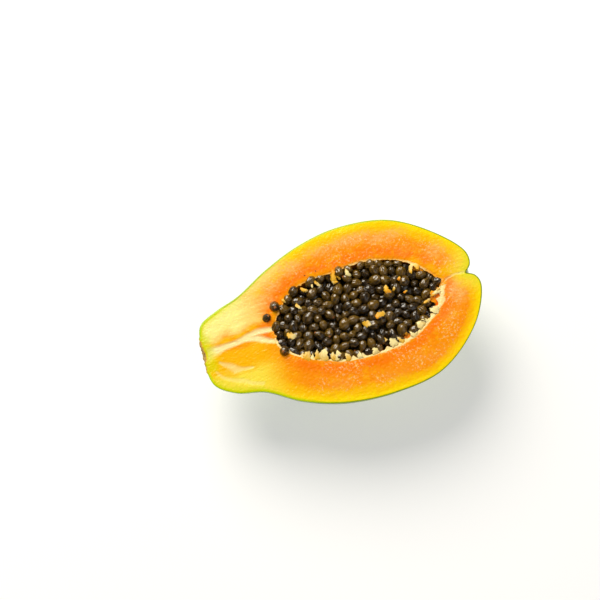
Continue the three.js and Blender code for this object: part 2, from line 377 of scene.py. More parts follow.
def grid_faces(rows, columns, start=0, closed=False):
    """Quads of a grid of points that is stored row by row."""
    steps = columns if closed else columns - 1
    row, column = np.meshgrid(np.arange(rows - 1), np.arange(steps), indexing="ij")
    after = (column + 1) % columns
    here, below = row * columns, (row + 1) * columns
    corners = [here + column, here + after, below + after, below + column]
    return np.stack(corners, axis=-1).reshape(-1, 4) + start


JOIN_DISTANCE = 1e-6
FLAT_DISTANCE = 1e-7


def make_piece(name, points, faces, materials, marks=None, face_materials=None, sharp_angle=None):
    """A mesh piece in the part's frame: corners that coincide are joined and its faces point outwards."""
    mesh = bpy.data.meshes.new(name)
    mesh.from_pydata(in_frame(points).tolist(), [], [list(face) for face in faces])
    for material in materials:
        mesh.materials.append(material)
    for mark, values in (marks or {}).items():
        values = np.asarray(values, np.float32)
        kind, field = ("FLOAT_VECTOR", "vector") if values.ndim == 2 else ("FLOAT", "value")
        mesh.attributes.new(mark, kind, "POINT").data.foreach_set(field, values.ravel())
    if face_materials is not None:
        mesh.polygons.foreach_set("material_index", np.asarray(face_materials, np.int32))
    shaped = bmesh.new()
    shaped.from_mesh(mesh)
    bmesh.ops.remove_doubles(shaped, verts=shaped.verts, dist=JOIN_DISTANCE)
    bmesh.ops.dissolve_degenerate(shaped, edges=shaped.edges, dist=FLAT_DISTANCE)
    bmesh.ops.recalc_face_normals(shaped, faces=shaped.faces)
    shaped.to_mesh(mesh)
    shaped.free()
    mesh.shade_smooth()
    if sharp_angle:
        mesh.set_sharp_from_angle(angle=math.radians(sharp_angle))
    piece = bpy.data.objects.new(name, mesh)
    bpy.context.scene.collection.objects.link(piece)
    return piece


# Seeds: a rule that scatters them over the cavity and lets them settle side by side.
RANDOM_SEED = 20117
BELOW_SEED = 40503
SEED_SPREAD = 0.12
SEED_TILT = 0.9
SEED_SCATTER = 1.6
# Distances that seeds' middles keep from the cavity's ends, far edge and near edge.
TOP_MARGINS = (2.2, 2.0, 2.3)
BELOW_MARGINS = (4.2, 4.2, 4.2)
EVEN_STEPS = (0.7548776662466927, 0.5698402909980532)
SETTLE_STEPS = 160
SETTLE_RATE = 0.3
BED_LEVEL = -1.5
BED_SWING = 0.8
BED_WAVES = (69, 50)
BED_JITTER = 0.6
BELOW_LEVEL = -6.6
BELOW_LIFT = 1.5
PIT_DEPTH = 3.0
PIT_REACH = 3.4
LIFT_SHARE = 2.5
DROP_SHARE = 0.32
DROP_DEPTHS = (1.8, 4.2)
NEAR_DIP = 1.0
NEAR_DIP_REACH = 4.6
# Seeds that lie proud of the far lip: rise, shift towards it, reach from it, and the ends of their stretch.
FAR_RISE = 1.3
FAR_SHIFT = 0.9
FAR_RISE_REACH = 3.8
FAR_RISE_START = (44, 50)
FAR_RISE_END = (100, 88)
STRAY_LIFT = 1.1
STRAY_LEAN = -1.5
SEED_GAP = 2.6
OUTLINE_SAMPLES = 200


def edge_reader(side):
    """A function that gives the cavity's half width on one side at distances along the axis."""
    samples = flank_points(CAVITY[side], np.linspace(0, 1, OUTLINE_SAMPLES + 1))

    def read(along):
        along = np.atleast_1d(np.asarray(along, float))
        reached = samples[None, 1:, 0] >= along[:, None]
        after = reached.argmax(axis=1) + 1
        a, b = samples[after - 1], samples[after]
        width = a[:, 1] + (along - a[:, 0]) / (b[:, 0] - a[:, 0]) * (b[:, 1] - a[:, 1])
        return np.where(reached.any(axis=1), width, 0)

    return read


def bed_height(places):
    """Height of the seeds' middles, as a slow swell."""
    x, y = places[:, 0], places[:, 1]
    swell = np.sin(2 * math.pi * x / BED_WAVES[0]) * np.cos(2 * math.pi * y / BED_WAVES[1])
    return BED_LEVEL + BED_SWING * swell


def scattered_seeds(count, start, end, far_edge, near_edge, draw):
    """Rows of place, swell, turn, lean and lift of seeds that are strewn evenly over the cavity."""
    far_reach, near_reach = (max(reach for _, reach in CAVITY[side]) for side in ("far", "near"))
    rows = []
    step = 0
    while len(rows) < count:
        step += 1
        u, v = (step * even % 1 for even in EVEN_STEPS)
        x = start + (end - start) * u + draw.either_way(SEED_SCATTER)
        y = -near_reach + (far_reach + near_reach) * v + draw.either_way(SEED_SCATTER)
        if y > far_edge(x)[0] or y < -near_edge(x)[0]:
            continue
        swell = 1 + draw.either_way(SEED_SPREAD)
        rows.append((x, y, swell, *(draw.either_way(most) for most in (math.pi, SEED_TILT, BED_JITTER))))
    return np.array(rows)


def settled_seeds(count, pitch, margins, random_seed, bare=(), strays=()):
    """Rows like those of scattered seeds, for seeds that lie side by side in the cavity, strays first."""
    far_edge, near_edge = edge_reader("far"), edge_reader("near")
    start, end = CAVITY["far"][0][0] + margins[0], CAVITY["far"][-1][0] - margins[0]
    seeds = scattered_seeds(count, start, end, far_edge, near_edge, Draws(random_seed))
    places, swell = seeds[:, :2], seeds[:, 2]
    wanted = pitch * (swell[:, None] + swell[None, :]) / 2
    for _ in range(SETTLE_STEPS):
        away = places[:, None] - places[None, :]
        apart = np.linalg.norm(away, axis=2)
        near = (apart > 0) & (apart < wanted)
        push = np.where(near, SETTLE_RATE * (wanted / np.where(near, apart, 1) - 1), 0)
        places += (away * push[:, :, None]).sum(axis=1)
        for x, y, radius in bare:
            off = places - [x, y]
            gap = np.maximum(np.linalg.norm(off, axis=1), TINY)
            places += off * np.maximum((radius + SEED_GAP) / gap - 1, 0)[:, None]
        places[:, 0] = np.clip(places[:, 0], start, end)
        high = np.maximum(0, far_edge(places[:, 0]) - margins[1])
        low = -np.maximum(0, near_edge(places[:, 0]) - margins[2])
        places[:, 1] = np.clip(places[:, 1], low, high)
        places[: len(strays)] = np.asarray(strays).reshape(-1, 2)
    return seeds


def top_seeds(look):
    """The seeds of the top layer and the heights of their middles."""
    seeds = settled_seeds(look.count, look.pitch / MM, TOP_MARGINS, RANDOM_SEED, BARE_SPOTS, STRAYS)
    draw = Draws(RANDOM_SEED + 2)
    sunk = np.zeros(len(seeds))
    for pit in PITS:
        away = np.hypot(*(seeds[:, :2] - pit).T)
        sunk = np.maximum(sunk, PIT_DEPTH * np.exp(-((away / PIT_REACH) ** 2)))
    for k in range(len(seeds)):
        if draw() < DROP_SHARE:
            sunk[k] = max(sunk[k], draw.between(*DROP_DEPTHS))
    along = seeds[:, 0]
    to_near = seeds[:, 1] + edge_reader("near")(along)
    sunk += NEAR_DIP * (1 - smooth_step(to_near, TOP_MARGINS[2], NEAR_DIP_REACH))
    to_far = edge_reader("far")(along) - seeds[:, 1]
    proud = 1 - smooth_step(to_far, TOP_MARGINS[1], FAR_RISE_REACH)
    proud *= smooth_step(along, *FAR_RISE_START) * smooth_step(along, *FAR_RISE_END)
    heights = bed_height(seeds) + LIFT_SHARE * seeds[:, 5] - sunk + FAR_RISE * proud
    seeds[:, 1] += FAR_SHIFT * proud
    loose = slice(len(STRAYS))
    heights[loose] = BED_LEVEL + STRAY_LIFT
    seeds[loose, :2] = STRAYS
    seeds[loose, 4] = STRAY_LEAN
    return seeds, heights


# Sizes of the finishes' patterns, in metres.
SKIN_CLOUDS = 0.05
SKIN_RIPENESS = 0.06
SKIN_MOTTLE = 0.006
SKIN_DIMPLES = 0.0011
CORK_GRAIN = 0.0016
FLESH_CLOUDS = 0.011
FLESH_MOTTLE = 0.0045
FLESH_GRAIN = 0.0024
FLESH_FINE = 0.0009
NECK_FIBRES = 0.0026
# Painted glints: size of the pale flecks on the wet flesh.
GLINT_FLECKS = 0.0015
CORE_LUMPS = 0.005
FLOOR_CLOUDS = 0.3
# Pores of the skin and painted glints of the wet flesh, in cells to the metre.
SKIN_PORES = 520
GLINT_POINTS = 480
# Patterns on one seed or stalk, over its half length: waves, and cells of the netting.
SEED_WRINKLES = 0.4
SEED_NETTING = 3.0
STALK_FIBRES = 0.3
# How much patterns are drawn out along a neck, a seed and a stalk: less than 1 is longer.
NECK_DRAWN = 0.12
SEED_DRAWN = 0.45
STALK_DRAWN = 0.35
# Shares of a colour's light that are left in dark cork and in specks, and in the seeds' core, where the
# darkness is painted shade.
CORK_SHADE = 0.5
SPECK_SHADE = 0.06
CORE_SHADE = 0.35


class Finish:
    """A node material that is built up in coats over its first colour."""

    def __init__(self, name, colour, **constants):
        self.material = bpy.data.materials.new(name)
        self.material.use_nodes = True
        self.tree = self.material.node_tree
        self.shader = self.tree.nodes["Principled BSDF"]
        self.colour = colour
        for key, value in constants.items():
            self.shader.inputs[key.replace("_", " ")].default_value = value

    def node(self, kind, inputs=None, **settings):
        """A node with its settings, and its inputs set to values or linked to other nodes' sockets."""
        made = self.tree.nodes.new(kind)
        for key, value in settings.items():
            setattr(made, key, value)
        for key, value in (inputs or {}).items():
            if isinstance(value, bpy.types.NodeSocket):
                self.tree.links.new(value, made.inputs[key])
            else:
                made.inputs[key].default_value = value
        return made

    def mark(self, name, output="Fac"):
        """A value that the mesh carries."""
        return self.node("ShaderNodeAttribute", attribute_name=name).outputs[output]

    def place(self):
        return self.node("ShaderNodeTexCoord").outputs["Object"]

    def drawn_out(self, place, along):
        """The place with its X multiplied, which draws patterns out along X."""
        inputs = {0: place, 1: (along, 1, 1)}
        return self.node("ShaderNodeVectorMath", inputs, operation="MULTIPLY").outputs[0]

    def waves(self, size, place, detail=3, roughness=0.55, distortion=0):
        """Noise from 0 to 1 with waves of about that size."""
        inputs = {"Vector": place, "Scale": 1 / size, "Detail": detail, "Roughness": roughness}
        return self.node("ShaderNodeTexNoise", {**inputs, "Distortion": distortion}).outputs[0]

    def cells(self, scale, place, **settings):
        return self.node("ShaderNodeTexVoronoi", {"Vector": place, "Scale": scale}, **settings).outputs

    def maths(self, operation, a, b):
        return self.node("ShaderNodeMath", {0: a, 1: b}, operation=operation).outputs[0]

    def times(self, a, b):
        return self.maths("MULTIPLY", a, b)

    def plus(self, a, b):
        return self.maths("ADD", a, b)

    def minus(self, a, b):
        return self.maths("SUBTRACT", a, b)

    def soften(self, value, low, high):
        """0 at low and 1 at high, with a soft start and end."""
        inputs = {"Value": value, "From Min": low, "From Max": high}
        return self.node("ShaderNodeMapRange", inputs, interpolation_type="SMOOTHSTEP").outputs[0]

    def blend(self, share, a, b):
        """Colour a where share is 0 and b where it is 1."""
        a, b = (c if isinstance(c, bpy.types.NodeSocket) else (*c, 1) for c in (a, b))
        return self.node("ShaderNodeMix", {0: share, 6: a, 7: b}, data_type="RGBA").outputs[2]

    def coat(self, share, colour, most=1):
        """Lay a colour over what is there by a share, which is multiplied by that most."""
        if most != 1:
            share = self.times(share, most)
        self.colour = self.blend(share, self.colour, colour)

    def bump(self, height, distance, strength=1.0, normal=None):
        inputs = {"Height": height, "Distance": distance, "Strength": strength}
        if normal:
            inputs["Normal"] = normal
        return self.node("ShaderNodeBump", inputs).outputs[0]

    def done(self, **sockets):
        """The material, with its colour and these sockets linked to its shader."""
        for key, socket in {"Base_Color": self.colour, **sockets}.items():
            self.tree.links.new(socket, self.shader.inputs[key.replace("_", " ")])
        return self.material


def shaded(colour, share):
    """A colour with a share of its light."""
    return tuple(share * c for c in colour)


def skin_material(look):
    """Smooth ripening skin: green with lime and yellow clouds, fine pores and the corky stem scar."""
    skin = Finish(
        "papaya_skin", look.skin_dark, Specular_IOR_Level=0.45, Coat_Weight=0.25, Coat_Roughness=0.2
    )
    place = skin.place()
    mottle = skin.waves(SKIN_MOTTLE, place, 4, 0.65)
    shade = skin.plus(skin.times(skin.waves(SKIN_CLOUDS, place, 2), 0.85), skin.times(mottle, 0.15))
    skin.coat(skin.soften(shade, 0.3, 0.55), look.skin_green)
    skin.coat(skin.soften(shade, 0.46, 0.7), look.skin_lime, most=0.8)
    ripe = skin.soften(skin.waves(SKIN_RIPENESS, place), 0.5, 0.75)
    blush = skin.times(ripe, skin.soften(skin.mark("belly"), 0.35, 1.0))
    skin.coat(blush, look.skin_blush, most=0.6)
    skin.coat(skin.mark("shoulder"), look.skin_lime, most=0.75)
    pore = skin.soften(skin.cells(SKIN_PORES, place)["Distance"], 0.2, 0.06)
    skin.coat(pore, look.skin_lime, most=0.3)
    grain = skin.waves(CORK_GRAIN, place, 5, 0.7)
    scar = skin.mark("cork")
    skin.coat(scar, skin.blend(skin.soften(grain, 0.35, 0.65), shaded(look.cork, CORK_SHADE), look.cork))
    rough = skin.plus(skin.plus(skin.times(mottle, 0.12), skin.times(scar, 0.4)), 0.26)
    dimples = skin.bump(skin.waves(SKIN_DIMPLES, place, 2), 0.00006, 0.5)
    return skin.done(Roughness=rough, Normal=skin.bump(skin.times(grain, scar), 0.0005, 1.0, dimples))


class CutFlesh(Finish):
    """Moist cut flesh: yellow under the peel, orange inside, with strands, patches (the pale pinkish ones
    painted sheen), painted glints and a torn lining.
    """

    # Where colours start and where they are full, in millimetres from the rim.
    GOLD_ZONE = (1.0, 6.0)
    ORANGE_ZONE = (5.5, 10.5)
    INSIDE_ZONE = (6.0, 12.0)
    TINGE_ZONE = (5.0, 0.5)
    NECK_TINGE_ZONE = (4.8, 1.0)
    GREEN_ZONE = (1.8, 0.95)
    PEEL_ZONE = (1.05, 0.65)
    CRUST_ZONE = (3.2, 2.0)
    # The same for colours that lie round the cavity, from its edge.
    DEEP_ZONE = (11.0, 4.0)
    LIP_ZONE = (3.4, 0.4)

    def __init__(self, look):
        super().__init__(
            "papaya_flesh", look.rim_yellow, Specular_IOR_Level=0.16, Subsurface_Weight=0.1,
            Subsurface_Radius=(1.0, 0.45, 0.12), Subsurface_Scale=0.002
        )
        self.look = look
        self.where = self.place()
        self.clouds = self.waves(FLESH_CLOUDS, self.where, 3, 0.6)
        self.mottle = self.waves(FLESH_MOTTLE, self.where, 4, 0.7)
        self.grain = self.waves(FLESH_GRAIN, self.where, 3, 0.65)
        self.fine = self.waves(FLESH_FINE, self.where, 2, 0.6)
        self.from_rim, self.neck, self.limy = (self.mark(name) for name in ("rim", "neck", "limy"))
        wander = self.plus(self.times(self.clouds, 5.0), self.times(self.grain, 4.0))
        self.wander = self.minus(wander, 4.5)
        self.rim = self.plus(self.from_rim, self.wander)

    def ripen(self):
        """From yellow under the peel to deep orange round the cavity."""
        look = self.look
        core = self.plus(self.mark("core"), self.wander)
        self.coat(self.soften(self.rim, *self.GOLD_ZONE), look.gold)
        self.coat(self.soften(self.rim, *self.ORANGE_ZONE), look.orange)
        inside = self.soften(self.from_rim, *self.INSIDE_ZONE)
        self.coat(self.times(self.soften(core, *self.DEEP_ZONE), inside), look.deep_orange, most=0.95)
        self.coat(self.soften(core, *self.LIP_ZONE), look.lip, most=0.8)
        self.coat(self.soften(self.mottle, 0.5, 0.68), look.gold, most=0.4)

    def streak(self):
        """Pale pinkish patches of painted sheen, the pale neck and the strands."""
        look = self.look
        speckle = self.plus(self.times(self.soften(self.grain, 0.4, 0.62), 0.6), 0.3)
        # Painted sheen: pale pinkish patches, broken up by the grain.
        self.coat(self.times(self.soften(self.mark("pink_sheen"), 0.0, 1.05), speckle), look.pink_sheen)
        self.coat(self.mark("gold"), look.gold)
        self.coat(self.mark("lemon"), look.lemon)
        fibres = self.waves(NECK_FIBRES, self.drawn_out(self.where, NECK_DRAWN), 3, 0.6)
        fibres = self.plus(self.times(self.minus(fibres, 0.5), 1.1), 1.0)
        neck = self.times(self.neck, fibres)
        self.coat(self.soften(neck, 0.0, 0.5), look.blush)
        self.coat(self.soften(neck, 0.45, 1.05), look.cream)
        broken = self.plus(self.times(self.grain, 0.6), 0.6)
        self.coat(self.times(self.mark("strand"), broken), look.strand)

    def paint_glints(self):
        """Painted glints: pale points and flecks that stand in for sparkle off the wet flesh."""
        wet_glint = self.mark("wet_glint")
        cells = self.cells(GLINT_POINTS, self.where)
        chosen = self.node("ShaderNodeSeparateColor", {0: cells["Color"]}).outputs[0]
        wet = self.soften(self.times(chosen, wet_glint), 0.3, 0.75)
        point = self.times(self.soften(cells["Distance"], 0.3, 0.1), wet)
        self.coat(point, self.look.glint, most=0.3)
        fleck = self.soften(self.waves(GLINT_FLECKS, self.where, 3, 0.7), 0.52, 0.65)
        wet_glint = self.times(wet_glint, self.soften(self.clouds, 0.4, 0.6))
        self.coat(self.times(fleck, wet_glint), self.look.glint, most=0.75)

    def line(self):
        """The torn lining along the cavity's edge, and the cavity's wall."""
        look = self.look
        lining = self.mark("lining")
        torn = self.soften(self.plus(lining, self.times(self.grain, 0.9)), 0.4, 1.35)
        dry = self.plus(self.mark("dry"), self.minus(self.mottle, 0.5))
        dry = self.plus(dry, self.minus(self.times(lining, 0.8), 0.6))
        fibre = self.blend(self.soften(dry, 0.3, 1.05), look.lip, look.lining)
        fibre = self.blend(self.times(self.soften(self.fine, 0.6, 0.4), 0.3), fibre, look.gold)
        self.coat(torn, fibre)
        pulp = self.blend(self.soften(self.grain, 0.4, 0.6), look.deep_orange, look.lip)
        self.coat(self.mark("wall"), pulp)

    def edge(self):
        """Green under the peel, the peel's cut edge, the stem scar's cork and the specks."""
        look = self.look
        scar = self.mark("cork")
        tinge = self.times(self.soften(self.rim, *self.TINGE_ZONE), self.mark("lemon"))
        limy_neck = self.times(self.limy, self.neck)
        neck_tinge = self.times(self.soften(self.from_rim, *self.NECK_TINGE_ZONE), limy_neck)
        self.coat(self.plus(tinge, neck_tinge), look.rim_green, most=0.8)
        self.coat(scar, look.rim_green, most=0.7)
        edge = self.plus(self.from_rim, self.times(self.grain, 0.5))
        green_edge = self.plus(edge, self.minus(0.5, self.limy))
        self.coat(self.soften(green_edge, *self.GREEN_ZONE), look.rim_green)
        peel_edge = self.minus(edge, self.times(self.neck, 0.5))
        peel = self.blend(self.limy, look.peel, look.peel_lime)
        self.coat(self.soften(peel_edge, *self.PEEL_ZONE), peel)
        crust = self.plus(self.from_rim, self.times(self.mottle, 4.0))
        corky = self.times(self.soften(crust, *self.CRUST_ZONE), self.soften(scar, 0.6, 0.9))
        self.coat(corky, look.cork)
        self.coat(self.mark("speck"), shaded(look.cork, SPECK_SHADE))


def flesh_material(look):
    """The cut flesh, coat by coat."""
    flesh = CutFlesh(look)
    flesh.ripen()
    flesh.streak()
    flesh.paint_glints()
    flesh.line()
    flesh.edge()
    rough = flesh.plus(flesh.times(flesh.grain, 0.12), 0.18)
    relief = flesh.bump(flesh.grain, 0.0003, 0.4)
    return flesh.done(Roughness=rough, Normal=flesh.bump(flesh.fine, 0.00015, 0.4, relief))


def seed_material(look):
    """Wet seed coats: olive to near black, wrinkled along the seed, with a paler point at some ends;
    painted shade darkens deep seeds and the creases, and painted light brightens the ridge tops.
    """
    seed = Finish(
        "papaya_seed_coat", look.dark, Roughness=0.3, IOR=1.45, Specular_IOR_Level=0.3,
        Coat_Weight=1.0, Coat_IOR=1.6, Coat_Roughness=0.07
    )
    own = seed.drawn_out(seed.mark("own", "Vector"), SEED_DRAWN)
    wrinkles = seed.waves(SEED_WRINKLES, own, 4, 0.6, 0.6)
    netting = seed.cells(SEED_NETTING, own, feature="DISTANCE_TO_EDGE")["Distance"]
    # Painted shade: the tint mark darkens seeds the deeper they lie.
    shade = seed.plus(seed.times(wrinkles, 0.9), seed.times(seed.mark("tint"), 0.6))
    # Painted light and shade: the crease mark lightens the ridge tops and darkens the creases.
    shade = seed.plus(shade, seed.times(seed.mark("crease_shade"), 0.35))
    seed.coat(seed.soften(shade, 0.4, 1.05), look.olive)
    seed.coat(seed.soften(seed.mark("point"), 0.3, 0.8), look.hilum)
    folds = seed.bump(seed.soften(netting, 0.0, 0.16), 0.0002, 0.4)
    return seed.done(Normal=seed.bump(wrinkles, 0.0004, 0.5, folds))


def core_material(look):
    """Painted shade: a dark stand-in for the shaded pulp and seeds below the layers that show."""
    core = Finish("papaya_seed_core", shaded(look.dark, CORE_SHADE), Roughness=0.6)
    lumps = core.waves(CORE_LUMPS, core.place())
    core.coat(lumps, look.dark)
    return core.done(Normal=core.bump(lumps, 0.001))


def stalk_material(look):
    """Torn stalks: cream where dry and amber where moist, with fibres along them."""
    stalk = Finish(
        "papaya_stalk", look.pulp, Roughness=0.4, Specular_IOR_Level=0.35, Subsurface_Weight=0.1,
        Subsurface_Radius=(0.6, 0.45, 0.25), Subsurface_Scale=0.0015
    )
    fibres = stalk.waves(STALK_FIBRES, stalk.drawn_out(stalk.mark("own", "Vector"), STALK_DRAWN))
    dry = stalk.plus(stalk.mark("dry"), stalk.times(fibres, 0.8))
    stalk.coat(stalk.soften(dry, -0.3, 0.3), look.amber)
    stalk.coat(stalk.soften(dry, 0.4, 1.1), look.cream)
    return stalk.done(Normal=stalk.bump(fibres, 0.0003, 0.5))


def floor_material(look):
    """Plain pale floor."""
    floor = Finish(
        "studio_floor", None, Specular_IOR_Level=0.1, Base_Color=(*look.floor, 1),
        Emission_Color=(1, 1, 1, 1), Emission_Strength=look.floor_glow
    )
    clouds = floor.waves(FLOOR_CLOUDS, floor.place())
    rough = floor.plus(floor.times(clouds, 0.1), 0.8)
    floor.tree.links.new(rough, floor.shader.inputs["Roughness"])
    return floor.material


# The fruit: skin, cut face and cavity wall as one closed surface.
SIDES = ("far", "near")
# Easing of the mesh's rows across the cut face and round the skin.
FACE_EASE = 0.6
SKIN_EASE = 0.75
# Share of the way to the rim over which a tooth pulls the cut face, and how deep it pulls the wall.
TOOTH_ROOT = 0.1
TOOTH_DEPTH = 2.4
# The wall's first and last turn, in half turns, just below the cut face.
WALL_TURNS = (0.012, 0.988)
# Every so many points of a loop are enough to measure the distance to it.
LOOP_STRIDE = 3
# Lining: its width, and how much wider it gets along each side, at the near side's end and where dry.
LINING_WIDTH = {"far": 0.6, "near": 0.9}
LINING_WIDE = 1.0
LINING_WIDE_ZONES = {"far": (128, 138), "near": (88, 108)}
LINING_END = 1.0
LINING_END_ZONE = (126, 136)
FAR_LINING = ((101, 9), (128, 6))
FAR_LINING_WIDE = 0.8
RIB_PITCH = 1.0
RIB_SWING = 1.6
RIB_HEIGHT = 0.06
TORN_HEIGHT = 0.06
# Torn teeth of the lining: longest far tooth, ends of their stretch, sizes, slant and level.
TOOTH_SEED = 7
FAR_TOOTH = 1.3
TOOTH_START = 2.0
TOOTH_STOP = 1.0
TOOTH_HALF_WIDTHS = (2.0, 4.0)
TOOTH_SPACES = (1.6, 5.0)
TOOTH_REACHES = (0.3, 1.0)
TOOTH_SLANT = 0.4
TOOTH_LEVEL = -0.3
TOOTH_LEAST = 0.1
SCAR_RADIUS = 11.4
SCAR_SOFT = 1.6
SCAR_BUMPS = 1.2
# Cork round the blossom end's dimple: distance from it where the cork starts and where it is full.
BLOSSOM_CORK = (2.4, 1.2)
# Where the lime shoulder of the skin starts and is full, along the axis and below the cut face.
SHOULDER_ALONG = (34, 12)
SHOULDER_BELOW = (26, 4)
# Soft edge of strands and patches, over their half width or reach.
SOFT_EDGE = (0.2, 1.4)
SPECK_EDGE = (0.25, 0.5)
STRAND_DEPTH = 0.3
RIM_ROLL_WIDTH = 1.1
NEAR_ROLL_SHARE = 0.4
EDGE_ROLL_WIDTHS = {"far": 2.6, "near": 1.2}
# Distance from the rim that the wall's flesh counts as, and where its lining and its bare pulp start.
WALL_RIM = 30.0
WALL_LINING = (0.8, 2.2)
WALL_LINING_SOFT = 1.0
WALL_PULP = (1.0, 3.5)
# Dryness of the wall and of the far lining, and how much drier the far lining's dry places are.
FAINT_DRY = 0.3
FAR_DRY = 0.35
NEAR_DRY_LINE = -3
# Zones of the cut face, along the axis and across it: where a mark starts and where it is full.
NECK_ALONG = (47, 20)
NECK_ACROSS = (5.0, 12.0)
NECK_SHIFT = 2.0
NECK_SHIFT_ALONG = (18, 8)
NECK_OFF_CAVITY = (1.5, 8.5)
NECK_STRENGTH = 0.98
NECK_RIM_SHARE = 0.6
NECK_RIM_ALONG = (70, 42)
NECK_RIM = (8.0, 1.5)
GOLD_ALONG = (54, 28)
GOLD_ACROSS = (0.0, -4.0)
LEMON_ALONG = (44, 24)
LEMON_ACROSS = (-12.0, -19.0)
ZONE_STRENGTH = 0.85
BLOSSOM_OVAL = (161, 3, 13, 15)
BLOSSOM_EDGE = (0.35, 1.25)
BLOSSOM_STRENGTH = 0.6
THIN_RIM = 0.4
THIN_RIM_ALONG = (92, 124)
THIN_RIM_END = (161, 152)
THIN_RIM_ACROSS = (-8, -20)
LIMY_NEAR_ALONG = (84, 34)
LIMY_FAR_ALONG = (34, 12)
LIMY_FAINT = 0.5
LIMY_FAINT_ALONG = (150, 110)
CORK_ALONG = (8.5, 3.0)
CORK_ACROSS = (12.5, 9)
CORK_MIDDLE = -0.5
# Painted glints: zones of the wet flesh where pale points and flecks are painted.
GLINT_NEAR_ALONG = (46, 66)
GLINT_NEAR_ACROSS = (-18, -26)
GLINT_FAR = 0.8
GLINT_FAR_ALONG = (50, 66)
GLINT_FAR_ACROSS = (22, 30)
GLINT_END = 0.9
GLINT_END_ALONG = (132, 142)
GLINT_RIM = (4, 9)


def far_lining(x):
    """Share of dry lining along the far edge."""
    return sum(np.exp(-(((x - middle) / reach) ** 2)) for middle, reach in FAR_LINING)


def inward(edge, side):
    """Directions on the cut face from a flank's edge into the cavity."""
    run = np.gradient(edge, axis=0)
    run /= np.maximum(np.linalg.norm(run, axis=1), TINY)[:, None]
    turned_run = np.stack([run[:, 1], -run[:, 0]], axis=1)
    return turned_run if side == "far" else -turned_run


def run_length(line):
    """Distance along a line at each of its points."""
    return np.concatenate([[0], np.cumsum(np.linalg.norm(np.diff(line, axis=0), axis=1))])


def seed_clearance(edge, heading, seeds, heights, radius):
    """How far each edge point may reach along its heading before it meets a seed."""
    free = np.full(len(edge), np.inf)
    for (x, y, swell, *_), height in zip(seeds, heights):
        section = math.sqrt(max((radius * swell) ** 2 - (TOOTH_LEVEL - height) ** 2, 0))
        offset = np.array([x, y]) - edge
        along = (offset * heading).sum(axis=1)
        miss = np.linalg.norm(offset - along[:, None] * heading, axis=1)
        reach = np.sqrt(np.maximum(section**2 - miss**2, 0))
        free = np.where((miss < section) & (along > 0), np.minimum(free, along - reach), free)
    return free


def on_face(flat):
    """Points of the cut face with a Z of 0."""
    return np.column_stack([flat, np.zeros(len(flat))])


def lining_teeth(edge, side, seeds, heights, look, seed_radius):
    """How far the torn lining reaches over the cavity at each point of a flank's edge."""
    draw = Draws(TOOTH_SEED if side == "near" else TOOTH_SEED + 1)
    run = run_length(edge)
    flat = on_face(edge)
    longest = look.tooth_reach / MM if side == "near" else FAR_TOOTH
    reach = 0.3 + 0.3 * ripple(flat, 2.4)
    place = TOOTH_START
    while place < run[-1] - TOOTH_STOP:
        half = draw.between(*TOOTH_HALF_WIDTHS)
        tall = longest * draw.between(*TOOTH_REACHES)
        slant = draw.either_way(TOOTH_SLANT) * half
        off = np.abs(run - place - slant * (run - place) / half) / half
        reach = np.maximum(reach, tall * np.clip(1 - off, 0, 1) ** 1.5)
        place += half + draw.between(*TOOTH_SPACES)
    reach = reach + 0.1 * ripple(flat, 1.6, 5.0)
    limit = seed_clearance(edge, inward(edge, side), seeds, heights, seed_radius)
    ends = smooth_step(run, 0, 4) * smooth_step(run[-1] - run, 0, 3)
    return np.clip(reach, 0, np.maximum(limit, TOOTH_LEAST)) * ends


def loop_of(far, near):
    """One closed loop from a far and a near flank that share their ends."""
    return np.concatenate([far, near[-2:0:-1]])


def eased(steps, ease):
    """Shares from 0 to 1 that lie closer together at both ends."""
    even = np.linspace(0, 1, steps)
    return (1 - ease) * even + ease * (1 - np.cos(math.pi * even)) / 2


def patches(x, y, rows):
    """Strength at each point of the cut face of soft oval patches."""
    strength = np.zeros(len(x))
    for middle_x, middle_y, along, across, most in rows:
        away = np.hypot((x - middle_x) / along, (y - middle_y) / across)
        strength = np.maximum(strength, most * (1 - smooth_step(away, *SOFT_EDGE)))
    return strength


def strand_mark(flat, drift):
    """Strength of the pale strands at each point of the cut face."""
    strand = np.zeros(len(flat))
    for line, strength in STRANDS:
        curve = flank_points(line, np.linspace(0, 1, STRAND_STEPS))
        away = line_distance(flat + 0.7 * drift[:, None], curve)
        strand = np.maximum(strand, strength * (1 - smooth_step(away, *SOFT_EDGE)))
    return strand


def speck_mark(flat):
    """Strength of the dark specks at each point of the cut face."""
    speck = np.zeros(len(flat))
    for place in SPECKS:
        speck = np.maximum(speck, 1 - smooth_step(np.hypot(*(flat - place).T), *SPECK_EDGE))
    return speck


def neck_mark(x, y, rim, core, drift):
    """Share of pale neck flesh at each point of the cut face."""
    away = y + 2.5 * drift + NECK_SHIFT * smooth_step(x, *NECK_SHIFT_ALONG)
    far_half = smooth_step(away, *NECK_ACROSS) * smooth_step(core, *NECK_OFF_CAVITY)
    at_rim = NECK_RIM_SHARE * smooth_step(x, *NECK_RIM_ALONG) * smooth_step(rim, *NECK_RIM)
    return NECK_STRENGTH * (far_half * np.maximum(smooth_step(x, *NECK_ALONG), at_rim))


def glint_mark(x, y, rim):
    """Where glints are painted on the wet flesh, before its ripples."""
    near_side = smooth_step(x, *GLINT_NEAR_ALONG) * smooth_step(y, *GLINT_NEAR_ACROSS)
    far_band = smooth_step(x, *GLINT_FAR_ALONG) * smooth_step(y, *GLINT_FAR_ACROSS)
    wet_glint = np.maximum(near_side, GLINT_FAR * far_band)
    wet_glint = np.maximum(wet_glint, GLINT_END * smooth_step(x, *GLINT_END_ALONG))
    return wet_glint * smooth_step(rim, *GLINT_RIM)


